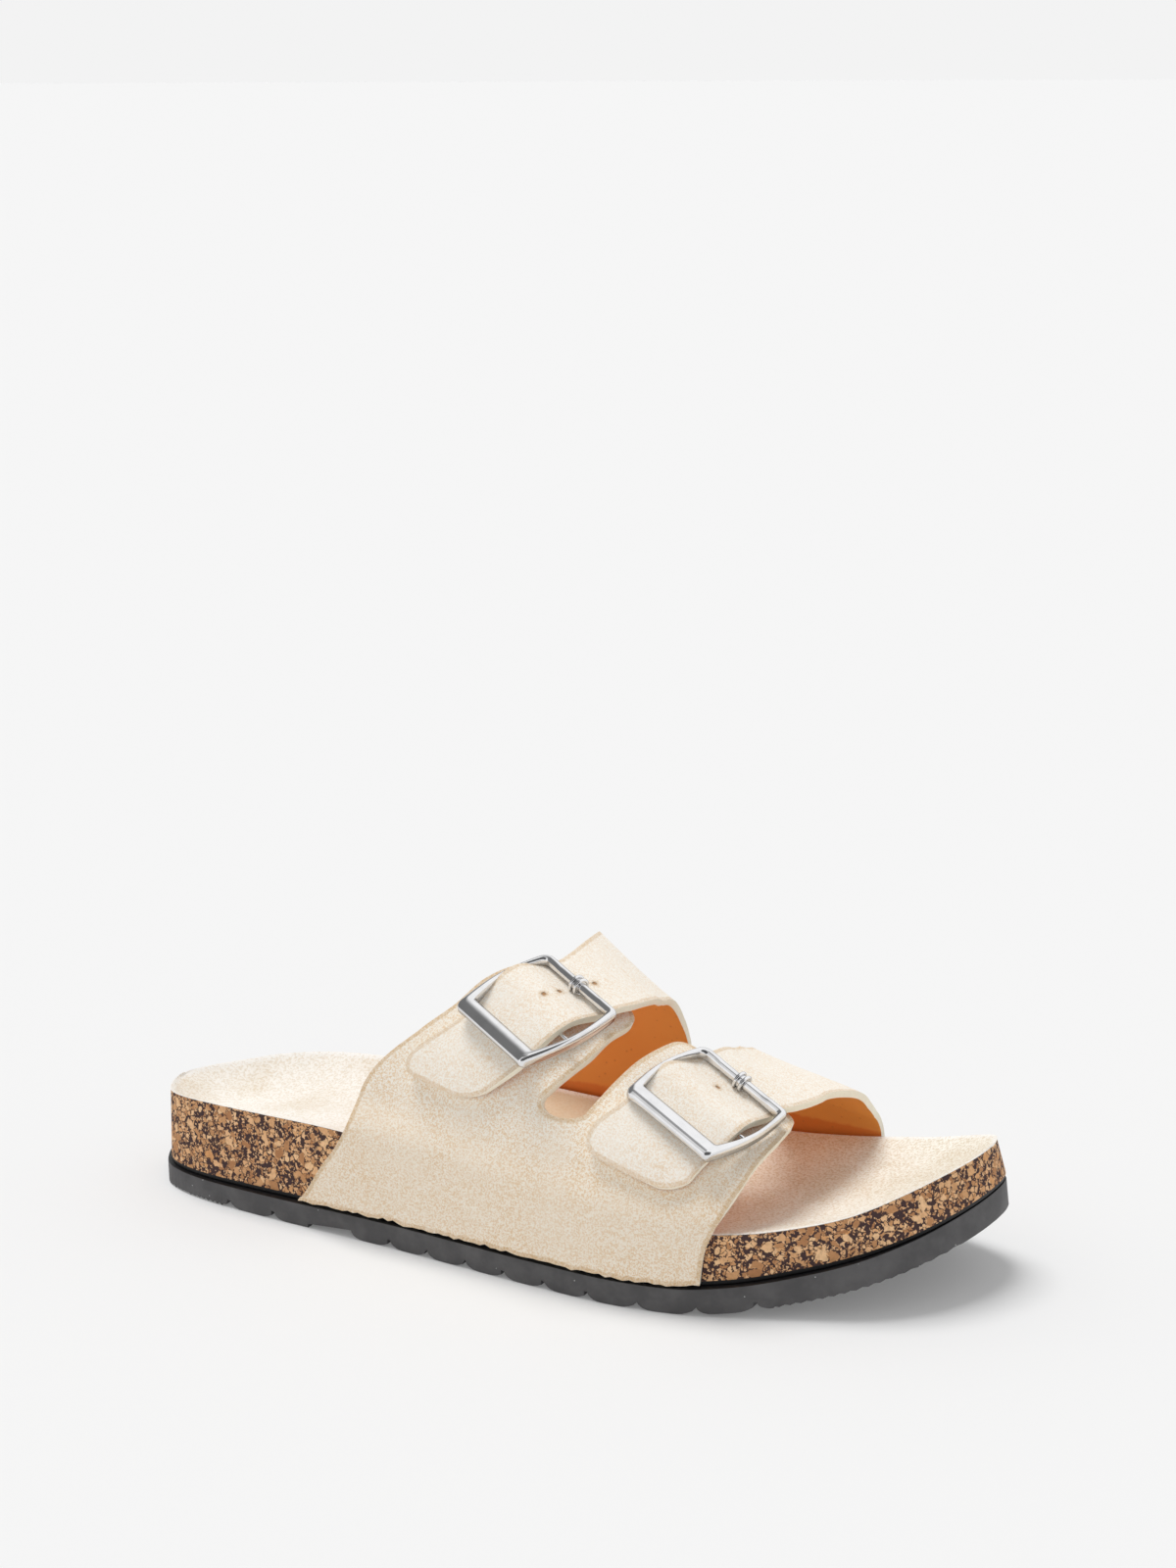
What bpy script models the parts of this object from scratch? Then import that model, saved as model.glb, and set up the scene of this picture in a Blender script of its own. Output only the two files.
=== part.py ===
"""Two-strap buckle mule for the right foot, built up from its maker's pieces.

Sizes are millimetres along the shoe: x from the back of the heel to the toe, y from the lateral side (negative)
to the medial side (positive), z up from the floor. The shoe is placed with its box centred over the origin.
"""
import math
from collections import namedtuple

import bmesh
import bpy
from mathutils import Matrix, Vector

MM = 0.001
OBJECT_NAME = "buckle_mule"
WELD = 0.000001
SMOOTH_ANGLE = 40.0

# Sole sizes
SOLE_LENGTH = 252.0
SOLE_STATIONS = 40
FOOTBED_COLUMNS = 10
OUTSOLE_COLUMNS = 4
OUTLINE_STEP = 0.01
CENTRE_X = 126.7
CENTRE_Y = -2.6
OUTSOLE_THICKNESS = 7.0
TOE_THICKENING = 1.2
HEEL_THINNING = 0.7
HEEL_THINNING_REACH = 110.0
TOE_SPRING = 18.4
SPRING_START = 0.70
CORK_INSET = 2.2
CORK_DRAFT = 0.8
TOE_LEAN_START = 222.0
OUTSOLE_LEAN = 0.9
CORK_FOOT_LEAN = -1.2
CORK_TOP_LEAN = 0.9
HEEL_TRIM = 1.2
HEEL_TRIM_REACH = 60.0
INSOLE_THICKNESS = 1.8
INSOLE_RIM_THICKNESS = 0.5
INSOLE_EDGE_ROUND = 0.15
INSOLE_EDGE_SHARE = 0.1
SKIVE_POWER = 4.0
BOWL_POWER = 2.6
HEEL_CUP_EASE = 24.0
TOE_LIP_EASE = 20.0
SEAT_GAP = 0.3

# Lug sizes
LUG_DEPTH = 2.0
LUG_PITCH = 13.7
LUG_FLOOR = 1.0
LUG_RAMP = 3.2
LUG_KNEE = 0.4
GROOVE_REACH = 80.0
FIRST_FOREFOOT_GROOVE = 92.0
FOREFOOT_GROOVES = 11
HEEL_GROOVES = (35.5, 49.0)
ARCH_RECESS = (63.0, 78.0)

# Upper sizes
UPPER_WALL = 2.2
STRAP_WALL = 2.0
UPPER_PROUD = 0.4
RIM_BLEND = 12.0
PANEL_ROWS = 9
PANEL_SPACING = 1.3
TAB_ROWS = 9
STRAP_ROWS = 30
TAB_COLUMNS = 9
GAP_COLUMNS = 6
CORNER_STEPS = 4
TAB_CORNER = 5.0
TAB_CORNER_SHARE = 0.16
STRAP_CORNER = 6.5
NORMAL_STEP = 0.5

# Buckle sizes
FRAME_ACROSS = 29.8
FRAME_ALONG = 31.1
WIDE_BAR = 5.6
WIDE_BAR_ROUND = 1.1
THIN_BAR = 2.9
THIN_BAR_ROUND = 1.2
RAIL_WIDTH = 2.6
RAIL_BOW = 2.0
RAIL_POINTS = 9
CENTRE_BAR = 1.2
CENTRE_BAR_ROUND = 0.35
CENTRE_BAR_DROP = 1.3
FRAME_HEIGHT = 3.0
PRONG_WIDTH = 3.2
PRONG_WALL = 0.7
PRONG_COLLAR = 0.3
PRONG_NECK = 0.35
PRONG_SWEEP = (8.0, 172.0)
PRONG_STEPS = 10

SoleRow = namedtuple("SoleRow", "share lateral medial")
SOLE_ROWS = (
    SoleRow(0.000, -4.0, 4.0),
    SoleRow(0.012, 9.2, 12.6),
    SoleRow(0.040, 19.2, 19.6),
    SoleRow(0.100, 25.7, 27.3),
    SoleRow(0.170, 28.9, 30.9),
    SoleRow(0.260, 32.2, 29.8),
    SoleRow(0.360, 35.9, 27.4),
    SoleRow(0.460, 40.5, 27.1),
    SoleRow(0.560, 45.0, 31.3),
    SoleRow(0.660, 48.0, 38.4),
    SoleRow(0.720, 47.1, 41.4),
    SoleRow(0.780, 43.3, 42.9),
    SoleRow(0.840, 37.1, 42.0),
    SoleRow(0.900, 30.5, 37.8),
    SoleRow(0.950, 20.3, 33.0),
    SoleRow(0.985, 5.5, 26.5),
    SoleRow(1.000, -13.0, 13.0),
)

# Height of the footbed's rim over the outsole, and how far the footbed dips between its rims
RimRow = namedtuple("RimRow", "share lateral medial dip")
RIM_ROWS = (
    RimRow(0.00, 20.4, 20.4, 9.0),
    RimRow(0.04, 22.2, 21.2, 9.0),
    RimRow(0.12, 23.3, 24.0, 9.0),
    RimRow(0.25, 23.5, 25.8, 7.5),
    RimRow(0.45, 20.5, 24.5, 5.0),
    RimRow(0.60, 17.4, 19.5, 4.0),
    RimRow(0.72, 15.0, 16.2, 3.5),
    RimRow(0.88, 12.7, 13.7, 3.5),
    RimRow(0.95, 13.5, 12.9, 3.2),
    RimRow(1.00, 12.4, 12.4, 3.0),
)

# Cross sections of the last: crown place, and how square its lateral and medial shoulders are
LastRow = namedtuple("LastRow", "x crown_y crown_z lateral_power medial_power")
LAST_ROWS = (
    LastRow(60.0, 23.8, 111.4, 1.80, 2.32),
    LastRow(95.0, 22.6, 94.7, 2.12, 2.26),
    LastRow(125.0, 20.7, 80.8, 2.48, 2.22),
    LastRow(150.0, 16.7, 67.4, 2.80, 2.22),
    LastRow(178.0, 12.4, 52.8, 2.91, 2.38),
    LastRow(205.0, 9.1, 41.7, 2.87, 2.70),
    LastRow(228.0, 5.6, 32.2, 2.82, 2.94),
)

# Front and rear edges of each quarter below its slot, by the angle around the last from the lateral foot
EdgeRow = namedtuple("EdgeRow", "around rear front")
LATERAL_EDGES = (
    EdgeRow(0.0, 61.0, 189.0),
    EdgeRow(8.0, 69.0, 190.2),
    EdgeRow(16.0, 76.8, 192.4),
    EdgeRow(24.0, 82.0, 194.4),
    EdgeRow(37.0, 97.8, 196.8),
)
MEDIAL_EDGES = (
    EdgeRow(180.0, 88.0, 208.5),
    EdgeRow(165.0, 95.0, 208.0),
    EdgeRow(152.0, 105.0, 207.2),
    EdgeRow(140.0, 116.0, 206.6),
)

# Cross lines of a tab or strap: where its rear and front edges lie along, around and over the last
BandRow = namedtuple("BandRow", "rear_x rear_around front_x front_around rear_lift front_lift", defaults=(0.0, 0.0))
REAR_TAB = (
    BandRow(97.8, 37.0, 141.0, 37.0),
    BandRow(107.0, 46.0, 145.4, 46.0),
    BandRow(113.0, 56.0, 149.2, 56.0),
    BandRow(118.5, 65.0, 151.0, 66.0),
    BandRow(124.0, 76.0, 152.9, 75.0),
    BandRow(127.5, 84.0, 152.8, 79.5),
)
FRONT_TAB = (
    BandRow(152.8, 37.0, 196.8, 37.0),
    BandRow(155.6, 46.0, 197.8, 46.0),
    BandRow(158.0, 56.0, 198.4, 56.0),
    BandRow(160.0, 66.0, 198.6, 66.0),
    BandRow(162.6, 77.0, 198.4, 75.0),
    BandRow(164.5, 84.0, 197.8, 80.5),
)
LATERAL_SLOT_FLOOR = 31.5
MEDIAL_SLOT_FLOOR = 147.0

# Each strap runs from the medial slot over the crown, through its frame and on to its end. Inside the frame its rear
# and front edges are lifted over the centre bar
Strap = namedtuple("Strap", "crossing thin_bar wide_bar end arch")
REAR_STRAP = Strap(
    (
        BandRow(116.0, 140.0, 154.0, 140.0),
        BandRow(128.0, 120.0, 153.8, 120.0, 0.6, -1.2),
        BandRow(129.6, 104.0, 153.6, 104.0, 1.2, -1.3),
        BandRow(129.2, 92.0, 153.4, 92.0, 1.8, -1.7),
        BandRow(129.5, 86.5, 152.8, 86.5, 2.1, 1.4),
        BandRow(130.3, 80.5, 151.2, 78.0, 2.0, 3.1),
    ),
    BandRow(130.3, 74.8, 148.6, 71.2, 1.0, 3.2),
    BandRow(113.7, 44.8, 132.7, 38.7, 2.4, 4.2),
    BandRow(95.8, 30.5, 121.8, 26.8, 1.4, 1.4),
    arch=(6.4, 7.9),
)
FRONT_STRAP = Strap(
    (
        BandRow(172.0, 140.0, 206.6, 140.0),
        BandRow(174.0, 120.0, 205.6, 120.0, 0.0, 1.3),
        BandRow(175.4, 104.0, 204.2, 104.0, -0.9, 2.2),
        BandRow(176.0, 92.0, 201.5, 90.0, 0.8, 3.6),
        BandRow(175.9, 85.0, 198.6, 81.0, 2.2, 3.0),
    ),
    BandRow(175.9, 80.0, 196.1, 76.2, 2.2, 2.4),
    BandRow(166.0, 48.3, 186.3, 39.8, 2.4, 3.0),
    BandRow(155.0, 30.5, 180.3, 25.0, 1.4, 1.4),
    arch=(6.3, 6.7),
)
# Places along the strap inside its frame, from the thin bar to the wide bar
THIN_BAR_INNER = 0.13
ARCH_TOP = 0.47
WIDE_BAR_INNER = 0.79

# Frame seats: centre of the frame, its bars' direction (rear to front) and its rails' (lateral to medial)
Seat = namedtuple("Seat", "name centre bar rail")
SEATS = (
    Seat("rear", (132.2, -23.7, 70.6), (0.854, -0.408, -0.324), (0.503, 0.809, 0.305)),
    Seat("front", (181.7, -24.2, 51.4), (0.874, -0.224, -0.431), (0.316, 0.936, 0.155)),
)

# Colours, roughness and metallic values
Finish = namedtuple("Finish", "colour roughness metallic")
RUBBER = Finish((0.07, 0.07, 0.075), 0.75, 0.0)
CORK = Finish((0.33, 0.17, 0.07), 0.85, 0.0)
SUEDE = Finish((0.80, 0.72, 0.62), 0.95, 0.0)
FAUX_SUEDE = Finish((0.75, 0.62, 0.45), 0.85, 0.0)
CHROME = Finish((0.72, 0.72, 0.73), 0.12, 1.0)


def interpolate(keys, values, key):
    """Read a smooth curve through a short table without overshoot."""
    if key <= keys[0]:
        return values[0]
    if key >= keys[-1]:
        return values[-1]
    last = len(keys) - 1
    steps = [keys[i + 1] - keys[i] for i in range(last)]
    slopes = [(values[i + 1] - values[i]) / steps[i] for i in range(last)]
    tangents = [slopes[0]]
    for i in range(1, last):
        product = slopes[i - 1] * slopes[i]
        mean = 2.0 * product / (slopes[i - 1] + slopes[i]) if product > 0.0 else 0.0
        tangents.append(mean)
    tangents.append(slopes[-1])
    i = next(k for k in range(last) if key <= keys[k + 1])
    t = (key - keys[i]) / steps[i]
    rise = (1.0 + 2.0 * t) * (1.0 - t) ** 2 * values[i] + t * t * (3.0 - 2.0 * t) * values[i + 1]
    lean = t * (1.0 - t) ** 2 * tangents[i] - t * t * (1.0 - t) * tangents[i + 1]
    return rise + lean * steps[i]


def column(rows, name):
    """Return one named column of a table."""
    return [getattr(row, name) for row in rows]


def mix(a, b, share):
    """Blend two numbers."""
    return a + (b - a) * share


def smooth_step(t):
    """Ease from 0 to 1."""
    t = min(max(t, 0.0), 1.0)
    return t * t * (3.0 - 2.0 * t)


def place(x, y, z):
    """Turn shoe millimetres into world metres."""
    return Vector(((x - CENTRE_X) * MM, (y - CENTRE_Y) * MM, z * MM))


def new_object(name, mesh, collection, finish=None):
    """Link a mesh as an object, with its own material when it is a part."""
    obj = bpy.data.objects.new(name, mesh)
    collection.objects.link(obj)
    if finish is None:
        obj.hide_render = True
        obj.display_type = "WIRE"
        return obj
    material = bpy.data.materials.new(name + "_material")
    material.use_nodes = True
    shader = material.node_tree.nodes["Principled BSDF"]
    shader.inputs["Base Color"].default_value = (*finish.colour, 1.0)
    shader.inputs["Roughness"].default_value = finish.roughness
    shader.inputs["Metallic"].default_value = finish.metallic
    mesh.materials.append(material)
    mesh.shade_smooth()
    mesh.set_sharp_from_angle(angle=math.radians(SMOOTH_ANGLE))
    return obj


def finish_mesh(name, mesh_builder):
    """Weld a hand-built loft, face it outwards and return it as a mesh."""
    bmesh.ops.remove_doubles(mesh_builder, verts=mesh_builder.verts, dist=WELD)
    bmesh.ops.recalc_face_normals(mesh_builder, faces=mesh_builder.faces)
    mesh = bpy.data.meshes.new(name)
    mesh_builder.to_mesh(mesh)
    mesh_builder.free()
    return mesh


def boolean(obj, cutter, operation):
    """Add an exact Boolean modifier."""
    modifier = obj.modifiers.new(cutter.name, "BOOLEAN")
    modifier.operation = operation
    modifier.solver = "EXACT"
    modifier.object = cutter


def spring(x):
    """Height of the outsole's underside over the floor."""
    share = max(x / SOLE_LENGTH - SPRING_START, 0.0) / (1.0 - SPRING_START)
    return TOE_SPRING * share * share


def sole_top(x):
    """Height of the outsole's upper face."""
    share = max(x / SOLE_LENGTH - SPRING_START, 0.0) / (1.0 - SPRING_START)
    thinning = HEEL_THINNING * (1.0 - smooth_step(x / HEEL_THINNING_REACH))
    return spring(x) + OUTSOLE_THICKNESS - thinning + TOE_THICKENING * share


def turn_at(x):
    """Angle along the outline, 0 at the heel and pi at the toe."""
    return math.acos(min(max(1.0 - 2.0 * x / SOLE_LENGTH, -1.0), 1.0))


SOLE_TURNS = [turn_at(row.share * SOLE_LENGTH) for row in SOLE_ROWS]


def edge_y(x, side):
    """Place of the outsole's edge across the shoe."""
    width = interpolate(SOLE_TURNS, column(SOLE_ROWS, side), turn_at(x))
    return -width if side == "lateral" else width


def outline_point(turn):
    """Point of the outsole's plan outline, lateral side first."""
    x = 0.5 * SOLE_LENGTH * (1.0 - math.cos(turn))
    side = "lateral" if turn <= math.pi else "medial"
    return Vector((x, edge_y(x, side)))


def heel_trim(x):
    """How far the outsole stays behind the shared outline at the heel."""
    return HEEL_TRIM * (1.0 - smooth_step(x / HEEL_TRIM_REACH))


def toe_lean(x):
    """How far along its lean a wall is, from upright along the sides to full at the toe."""
    return smooth_step((x - TOE_LEAN_START) / (SOLE_LENGTH - TOE_LEAN_START))


def cork_foot_inset(x):
    """Inset of the cork's lower edge."""
    return CORK_INSET + CORK_FOOT_LEAN * toe_lean(x)


def cork_top_inset(x):
    """Inset of the cork's upper edge and of the insole."""
    return CORK_INSET + CORK_DRAFT + CORK_TOP_LEAN * toe_lean(x)


def plan_loop(inset):
    """Closed plan outline moved inwards by a function of x, from the heel along the lateral side and back."""
    points = []
    for i in range(2 * SOLE_STATIONS):
        turn = math.pi * i / SOLE_STATIONS
        ahead = outline_point((turn + OUTLINE_STEP) % (2.0 * math.pi))
        behind = outline_point((turn - OUTLINE_STEP) % (2.0 * math.pi))
        along = (ahead - behind).normalized()
        point = outline_point(turn)
        points.append(point + Vector((-along.y, along.x)) * inset(point.x))
    return points


def footbed_height(x, across):
    """Height of the insole's upper face, with across from -1 (lateral rim) to 1 (medial rim)."""
    share = x / SOLE_LENGTH
    shares = column(RIM_ROWS, "share")
    lateral = interpolate(shares, column(RIM_ROWS, "lateral"), share)
    medial = interpolate(shares, column(RIM_ROWS, "medial"), share)
    dip = interpolate(shares, column(RIM_ROWS, "dip"), share)
    heel_ease = 1.0 - (1.0 - min((x - CORK_INSET) / HEEL_CUP_EASE, 1.0)) ** 2
    toe_ease = 1.0 - (1.0 - min((SOLE_LENGTH - CORK_INSET - x) / TOE_LIP_EASE, 1.0)) ** 2
    bowl = (1.0 - abs(across) ** BOWL_POWER) * heel_ease * toe_ease
    rim = mix(lateral, medial, 0.5 + 0.5 * across)
    return sole_top(x) + rim - dip * bowl


def sole_layer(name, insets, bottom, top, columns):
    """Loft a closed layer of the sole between two height functions of x and place across."""
    builder = bmesh.new()

    def grid(inset, height):
        loop = plan_loop(inset)
        rows = []
        for i in range(SOLE_STATIONS + 1):
            lateral = loop[i]
            medial = loop[-i]
            row = []
            for j in range(columns + 1):
                across = -math.cos(math.pi * j / columns)
                point = lateral.lerp(medial, 0.5 + 0.5 * across)
                rim_place = 1.0 if lateral is medial else across
                row.append(builder.verts.new(place(point.x, point.y, height(point.x, rim_place))))
            rows.append(row)
        for first, second in zip(rows, rows[1:]):
            for j in range(columns):
                builder.faces.new((first[j], second[j], second[j + 1], first[j + 1]))
        return rows

    lower = grid(insets[0], bottom)
    upper = grid(insets[1], top)
    for i in range(SOLE_STATIONS):
        for j in (0, columns):
            builder.faces.new((lower[i][j], lower[i + 1][j], upper[i + 1][j], upper[i][j]))
    return finish_mesh(name, builder)


def groove_cutter(name, profile, collection):
    """Bar across the sole whose section is a list of x and depth pairs above the underside."""
    builder = bmesh.new()
    ends = []
    for y in (-GROOVE_REACH, GROOVE_REACH):
        ends.append([builder.verts.new(place(x, y, spring(x) + z)) for x, z in profile])
    count = len(profile)
    for k in range(count):
        n = (k + 1) % count
        builder.faces.new((ends[0][k], ends[0][n], ends[1][n], ends[1][k]))
    builder.faces.new(ends[0])
    builder.faces.new(list(reversed(ends[1])))
    return new_object(name, finish_mesh(name, builder), collection)


def add_outsole(parts, cutters):
    """Rubber unit with cross lugs, each square in front and rounded behind."""
    insets = (heel_trim, lambda x: heel_trim(x) + OUTSOLE_LEAN * toe_lean(x))
    bottom = lambda x, across: spring(x)
    top = lambda x, across: sole_top(x)
    mesh = sole_layer("outsole", insets, bottom, top, OUTSOLE_COLUMNS)
    obj = new_object("outsole", mesh, parts, RUBBER)
    starts = list(HEEL_GROOVES)
    starts += [FIRST_FOREFOOT_GROOVE + LUG_PITCH * k for k in range(FOREFOOT_GROOVES)]
    for k, start in enumerate(starts):
        profile = (
            (start, -LUG_DEPTH),
            (start, LUG_DEPTH),
            (start + LUG_FLOOR, LUG_DEPTH),
            (start + LUG_FLOOR + LUG_KNEE * LUG_RAMP, LUG_KNEE * LUG_DEPTH),
            (start + LUG_FLOOR + LUG_RAMP, 0.0),
            (start + LUG_FLOOR + LUG_RAMP, -LUG_DEPTH),
        )
        boolean(obj, groove_cutter("groove_%02d" % k, profile, cutters), "DIFFERENCE")
    rear, front = ARCH_RECESS
    profile = (
        (rear, -LUG_DEPTH),
        (rear, LUG_DEPTH),
        (front - LUG_RAMP, LUG_DEPTH),
        (front, 0.0),
        (front, -LUG_DEPTH),
    )
    boolean(obj, groove_cutter("arch_recess", profile, cutters), "DIFFERENCE")


def add_midsole(parts):
    """Cork block between the outsole and the insole."""

    def bottom(x, across):
        return sole_top(x) + SEAT_GAP

    def top(x, across):
        return footbed_height(x, across) - insole_thickness(across) - SEAT_GAP

    mesh = sole_layer("cork_midsole", (cork_foot_inset, cork_top_inset), bottom, top, FOOTBED_COLUMNS)
    new_object("cork_midsole", mesh, parts, CORK)


def insole_thickness(across):
    """Thickness of the sock, skived thin towards its rim."""
    return mix(INSOLE_THICKNESS, INSOLE_RIM_THICKNESS, abs(across) ** SKIVE_POWER)


def add_insole(parts):
    """Suede sock over the whole footbed, with a softened rim."""

    def bottom(x, across):
        return footbed_height(x, across) - insole_thickness(across)

    def top(x, across):
        rim = max(abs(across) - 1.0 + INSOLE_EDGE_SHARE, 0.0) / INSOLE_EDGE_SHARE
        return footbed_height(x, across) - INSOLE_EDGE_ROUND * rim * rim

    mesh = sole_layer("insole", (cork_top_inset, cork_top_inset), bottom, top, FOOTBED_COLUMNS)
    new_object("insole", mesh, parts, SUEDE)


def last_value(name, x):
    """Read one column of the last's sections at x."""
    return interpolate(column(LAST_ROWS, "x"), column(LAST_ROWS, name), x)


def bare_point(x, around):
    """Point of the upper's outer face, 0 degrees at the lateral foot and 180 at the medial foot."""
    lateral = around <= 90.0
    side = "lateral" if lateral else "medial"
    power = last_value(side + "_power", x)
    crown_y = last_value("crown_y", x)
    crown_z = last_value("crown_z", x)
    base = sole_top(x) + SEAT_GAP
    angle = math.radians(around if lateral else 180.0 - around)
    out = max(math.cos(angle), 0.0) ** (2.0 / power)
    rise = max(math.sin(angle), 0.0) ** (2.0 / power)
    wall_y = edge_y(x, side) + (-UPPER_PROUD if lateral else UPPER_PROUD)
    y = mix(crown_y, wall_y, out)
    z = mix(base, crown_z, rise)
    rim = interpolate(column(RIM_ROWS, "share"), column(RIM_ROWS, side), x / SOLE_LENGTH) + sole_top(x)
    y = mix(wall_y, y, smooth_step((z - rim) / RIM_BLEND))
    return Vector((x, y, z))


def upper_point(x, around, lift):
    """Point at a height over the upper's outer face."""
    around = min(max(around, 0.0), 180.0)
    point = bare_point(x, around)
    if lift != 0.0:
        along = bare_point(x + NORMAL_STEP, around) - bare_point(x - NORMAL_STEP, around)
        higher = bare_point(x, min(around + NORMAL_STEP, 180.0))
        over = higher - bare_point(x, max(around - NORMAL_STEP, 0.0))
        point = point + along.cross(over).normalized() * lift
    return place(*point)


def band_value(rows, places, name, along):
    """Read one column of a band's cross lines at a place along it."""
    return interpolate(places, column(rows, name), along)


def add_grid(builder, rows):
    """Join rows of points with faces."""
    grid = [[builder.verts.new(point) for point in row] for row in rows]
    for first, second in zip(grid, grid[1:]):
        for j in range(len(first) - 1):
            builder.faces.new((first[j], first[j + 1], second[j + 1], second[j]))


def band_rows(rows, places, steps, corner):
    """Rows of points along a band whose far end has rounded corners."""
    length = 0.0
    for first, second in zip(rows, rows[1:]):
        middle = [upper_point(0.5 * (r.rear_x + r.front_x), 0.5 * (r.rear_around + r.front_around), 0.0)
                  for r in (first, second)]
        length += (middle[1] - middle[0]).length / MM
    points = []
    for along in steps:
        ends = {name: band_value(rows, places, name, along) for name in BandRow._fields}
        width = (upper_point(ends["front_x"], ends["front_around"], 0.0)
                 - upper_point(ends["rear_x"], ends["rear_around"], 0.0)).length / MM
        left = max(corner - (places[-1] - along) / places[-1] * length, 0.0)
        trim = (corner - math.sqrt(max(corner * corner - left * left, 0.0))) / width
        row = []
        for j in range(TAB_COLUMNS + 1):
            across = mix(trim, 1.0 - trim, j / TAB_COLUMNS)
            lift = mix(ends["rear_lift"], ends["front_lift"], across)
            x = mix(ends["rear_x"], ends["front_x"], across)
            around = mix(ends["rear_around"], ends["front_around"], across)
            row.append(upper_point(x, around, lift))
        points.append(row)
    return points


def band_steps(count, end, corner_share):
    """Places along a band, closer together where its end is rounded."""
    steps = [end * (1.0 - corner_share) * i / count for i in range(count)]
    for k in range(CORNER_STEPS + 1):
        turn = 0.5 * math.pi * k / CORNER_STEPS
        steps.append(end * (1.0 - corner_share * (1.0 - math.sin(turn))))
    return steps


def panel_rows(edges, bands, slot_floor):
    """Rows of points from a quarter's foot up to the root of its two bands and the slot between."""
    rear_root, front_root = bands
    foot = edges[0].around
    root = edges[-1].around
    tops = []
    for j in range(TAB_COLUMNS):
        tops.append((mix(rear_root.rear_x, rear_root.front_x, j / TAB_COLUMNS), root))
    for j in range(GAP_COLUMNS):
        turn = math.pi * j / GAP_COLUMNS
        x = mix(rear_root.front_x, front_root.rear_x, 0.5 - 0.5 * math.cos(turn))
        tops.append((x, mix(root, slot_floor, math.sin(turn))))
    for j in range(TAB_COLUMNS + 1):
        tops.append((mix(front_root.rear_x, front_root.front_x, j / TAB_COLUMNS), root))
    order = 1.0 if root > foot else -1.0
    arounds = [order * row.around for row in edges]
    rows = []
    for i in range(PANEL_ROWS + 1):
        share = (i / PANEL_ROWS) ** PANEL_SPACING
        row = []
        for j, (top_x, top_around) in enumerate(tops):
            around = mix(foot, top_around, share)
            rear = interpolate(arounds, column(edges, "rear"), order * around)
            front = interpolate(arounds, column(edges, "front"), order * around)
            top_share = (top_x - rear_root.rear_x) / (front_root.front_x - rear_root.rear_x)
            across = mix(j / (len(tops) - 1), top_share, share)
            row.append(upper_point(mix(rear, front, across), around, 0.0))
        rows.append(row)
    return rows


def sheet(name, grids, wall, collection, finish):
    """Thicken joined grids of points inwards into one leather sheet."""
    builder = bmesh.new()
    for rows in grids:
        add_grid(builder, rows)
    mesh = finish_mesh(name, builder)
    middle = mesh.polygons[0]
    if middle.normal.y * middle.center.y < 0.0:
        mesh.flip_normals()
    obj = new_object(name, mesh, collection, finish)
    solidify = obj.modifiers.new("wall", "SOLIDIFY")
    solidify.thickness = wall * MM
    solidify.offset = -1.0
    solidify.use_even_offset = True
    return obj


def tab_grid(rows):
    """Grid of a lateral tab."""
    places = list(range(len(rows)))
    steps = band_steps(TAB_ROWS, places[-1], TAB_CORNER_SHARE)
    return band_rows(rows, places, steps, TAB_CORNER)


def strap_grid(strap):
    """Grid of a strap, low over its tab, arched over the centre bar and low again to its end."""

    def between(share, rear_lift, front_lift):
        row = BandRow(*[mix(a, b, share) for a, b in zip(strap.thin_bar, strap.wide_bar)])
        return row._replace(rear_lift=rear_lift, front_lift=front_lift)

    thin, wide = strap.thin_bar, strap.wide_bar
    inside = (
        between(THIN_BAR_INNER, thin.rear_lift, thin.front_lift),
        between(ARCH_TOP, *strap.arch),
        between(WIDE_BAR_INNER, wide.rear_lift, wide.front_lift),
    )
    rows = [*strap.crossing, thin, *inside, wide, strap.end]
    middles = [upper_point(0.5 * (r.rear_x + r.front_x), 0.5 * (r.rear_around + r.front_around), 0.0)
               for r in rows]
    places = [0.0]
    for first, second in zip(middles, middles[1:]):
        places.append(places[-1] + (second - first).length / MM)
    steps = band_steps(STRAP_ROWS, places[-1], STRAP_CORNER / places[-1])
    return band_rows(rows, places, steps, STRAP_CORNER)


def add_upper(parts, cutters):
    """Lateral quarter with two tabs, joined to the medial quarter whose straps lie over them."""
    lateral_panel = panel_rows(LATERAL_EDGES, (REAR_TAB[0], FRONT_TAB[0]), LATERAL_SLOT_FLOOR)
    grids = [lateral_panel, tab_grid(REAR_TAB), tab_grid(FRONT_TAB)]
    upper = sheet("upper", grids, UPPER_WALL, parts, FAUX_SUEDE)
    roots = (REAR_STRAP.crossing[0], FRONT_STRAP.crossing[0])
    medial_panel = panel_rows(MEDIAL_EDGES, roots, MEDIAL_SLOT_FLOOR)
    grids = [medial_panel, strap_grid(REAR_STRAP), strap_grid(FRONT_STRAP)]
    medial = sheet("medial_quarter", grids, STRAP_WALL, cutters, None)
    boolean(upper, medial, "UNION")


def seat_matrix(seat):
    """Place and turn of a frame, with its bars along x and its rails along y."""
    bar = Vector(seat.bar).normalized()
    face = bar.cross(Vector(seat.rail)).normalized()
    rail = face.cross(bar)
    turn = Matrix((bar, rail, face)).transposed().to_4x4()
    return Matrix.Translation(place(*seat.centre)) @ turn


def bar_mesh(name, size, radius, collection, segments):
    """Bar with rounded long edges, its length along x."""
    builder = bmesh.new()
    bmesh.ops.create_cube(builder, size=1.0, matrix=Matrix.Diagonal((*[s * MM for s in size], 1.0)))
    bmesh.ops.bevel(builder, geom=builder.edges[:], offset=radius * MM, segments=segments, affect="EDGES",
                    profile=0.5, clamp_overlap=True)
    return new_object(name, finish_mesh(name, builder), collection)


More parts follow.
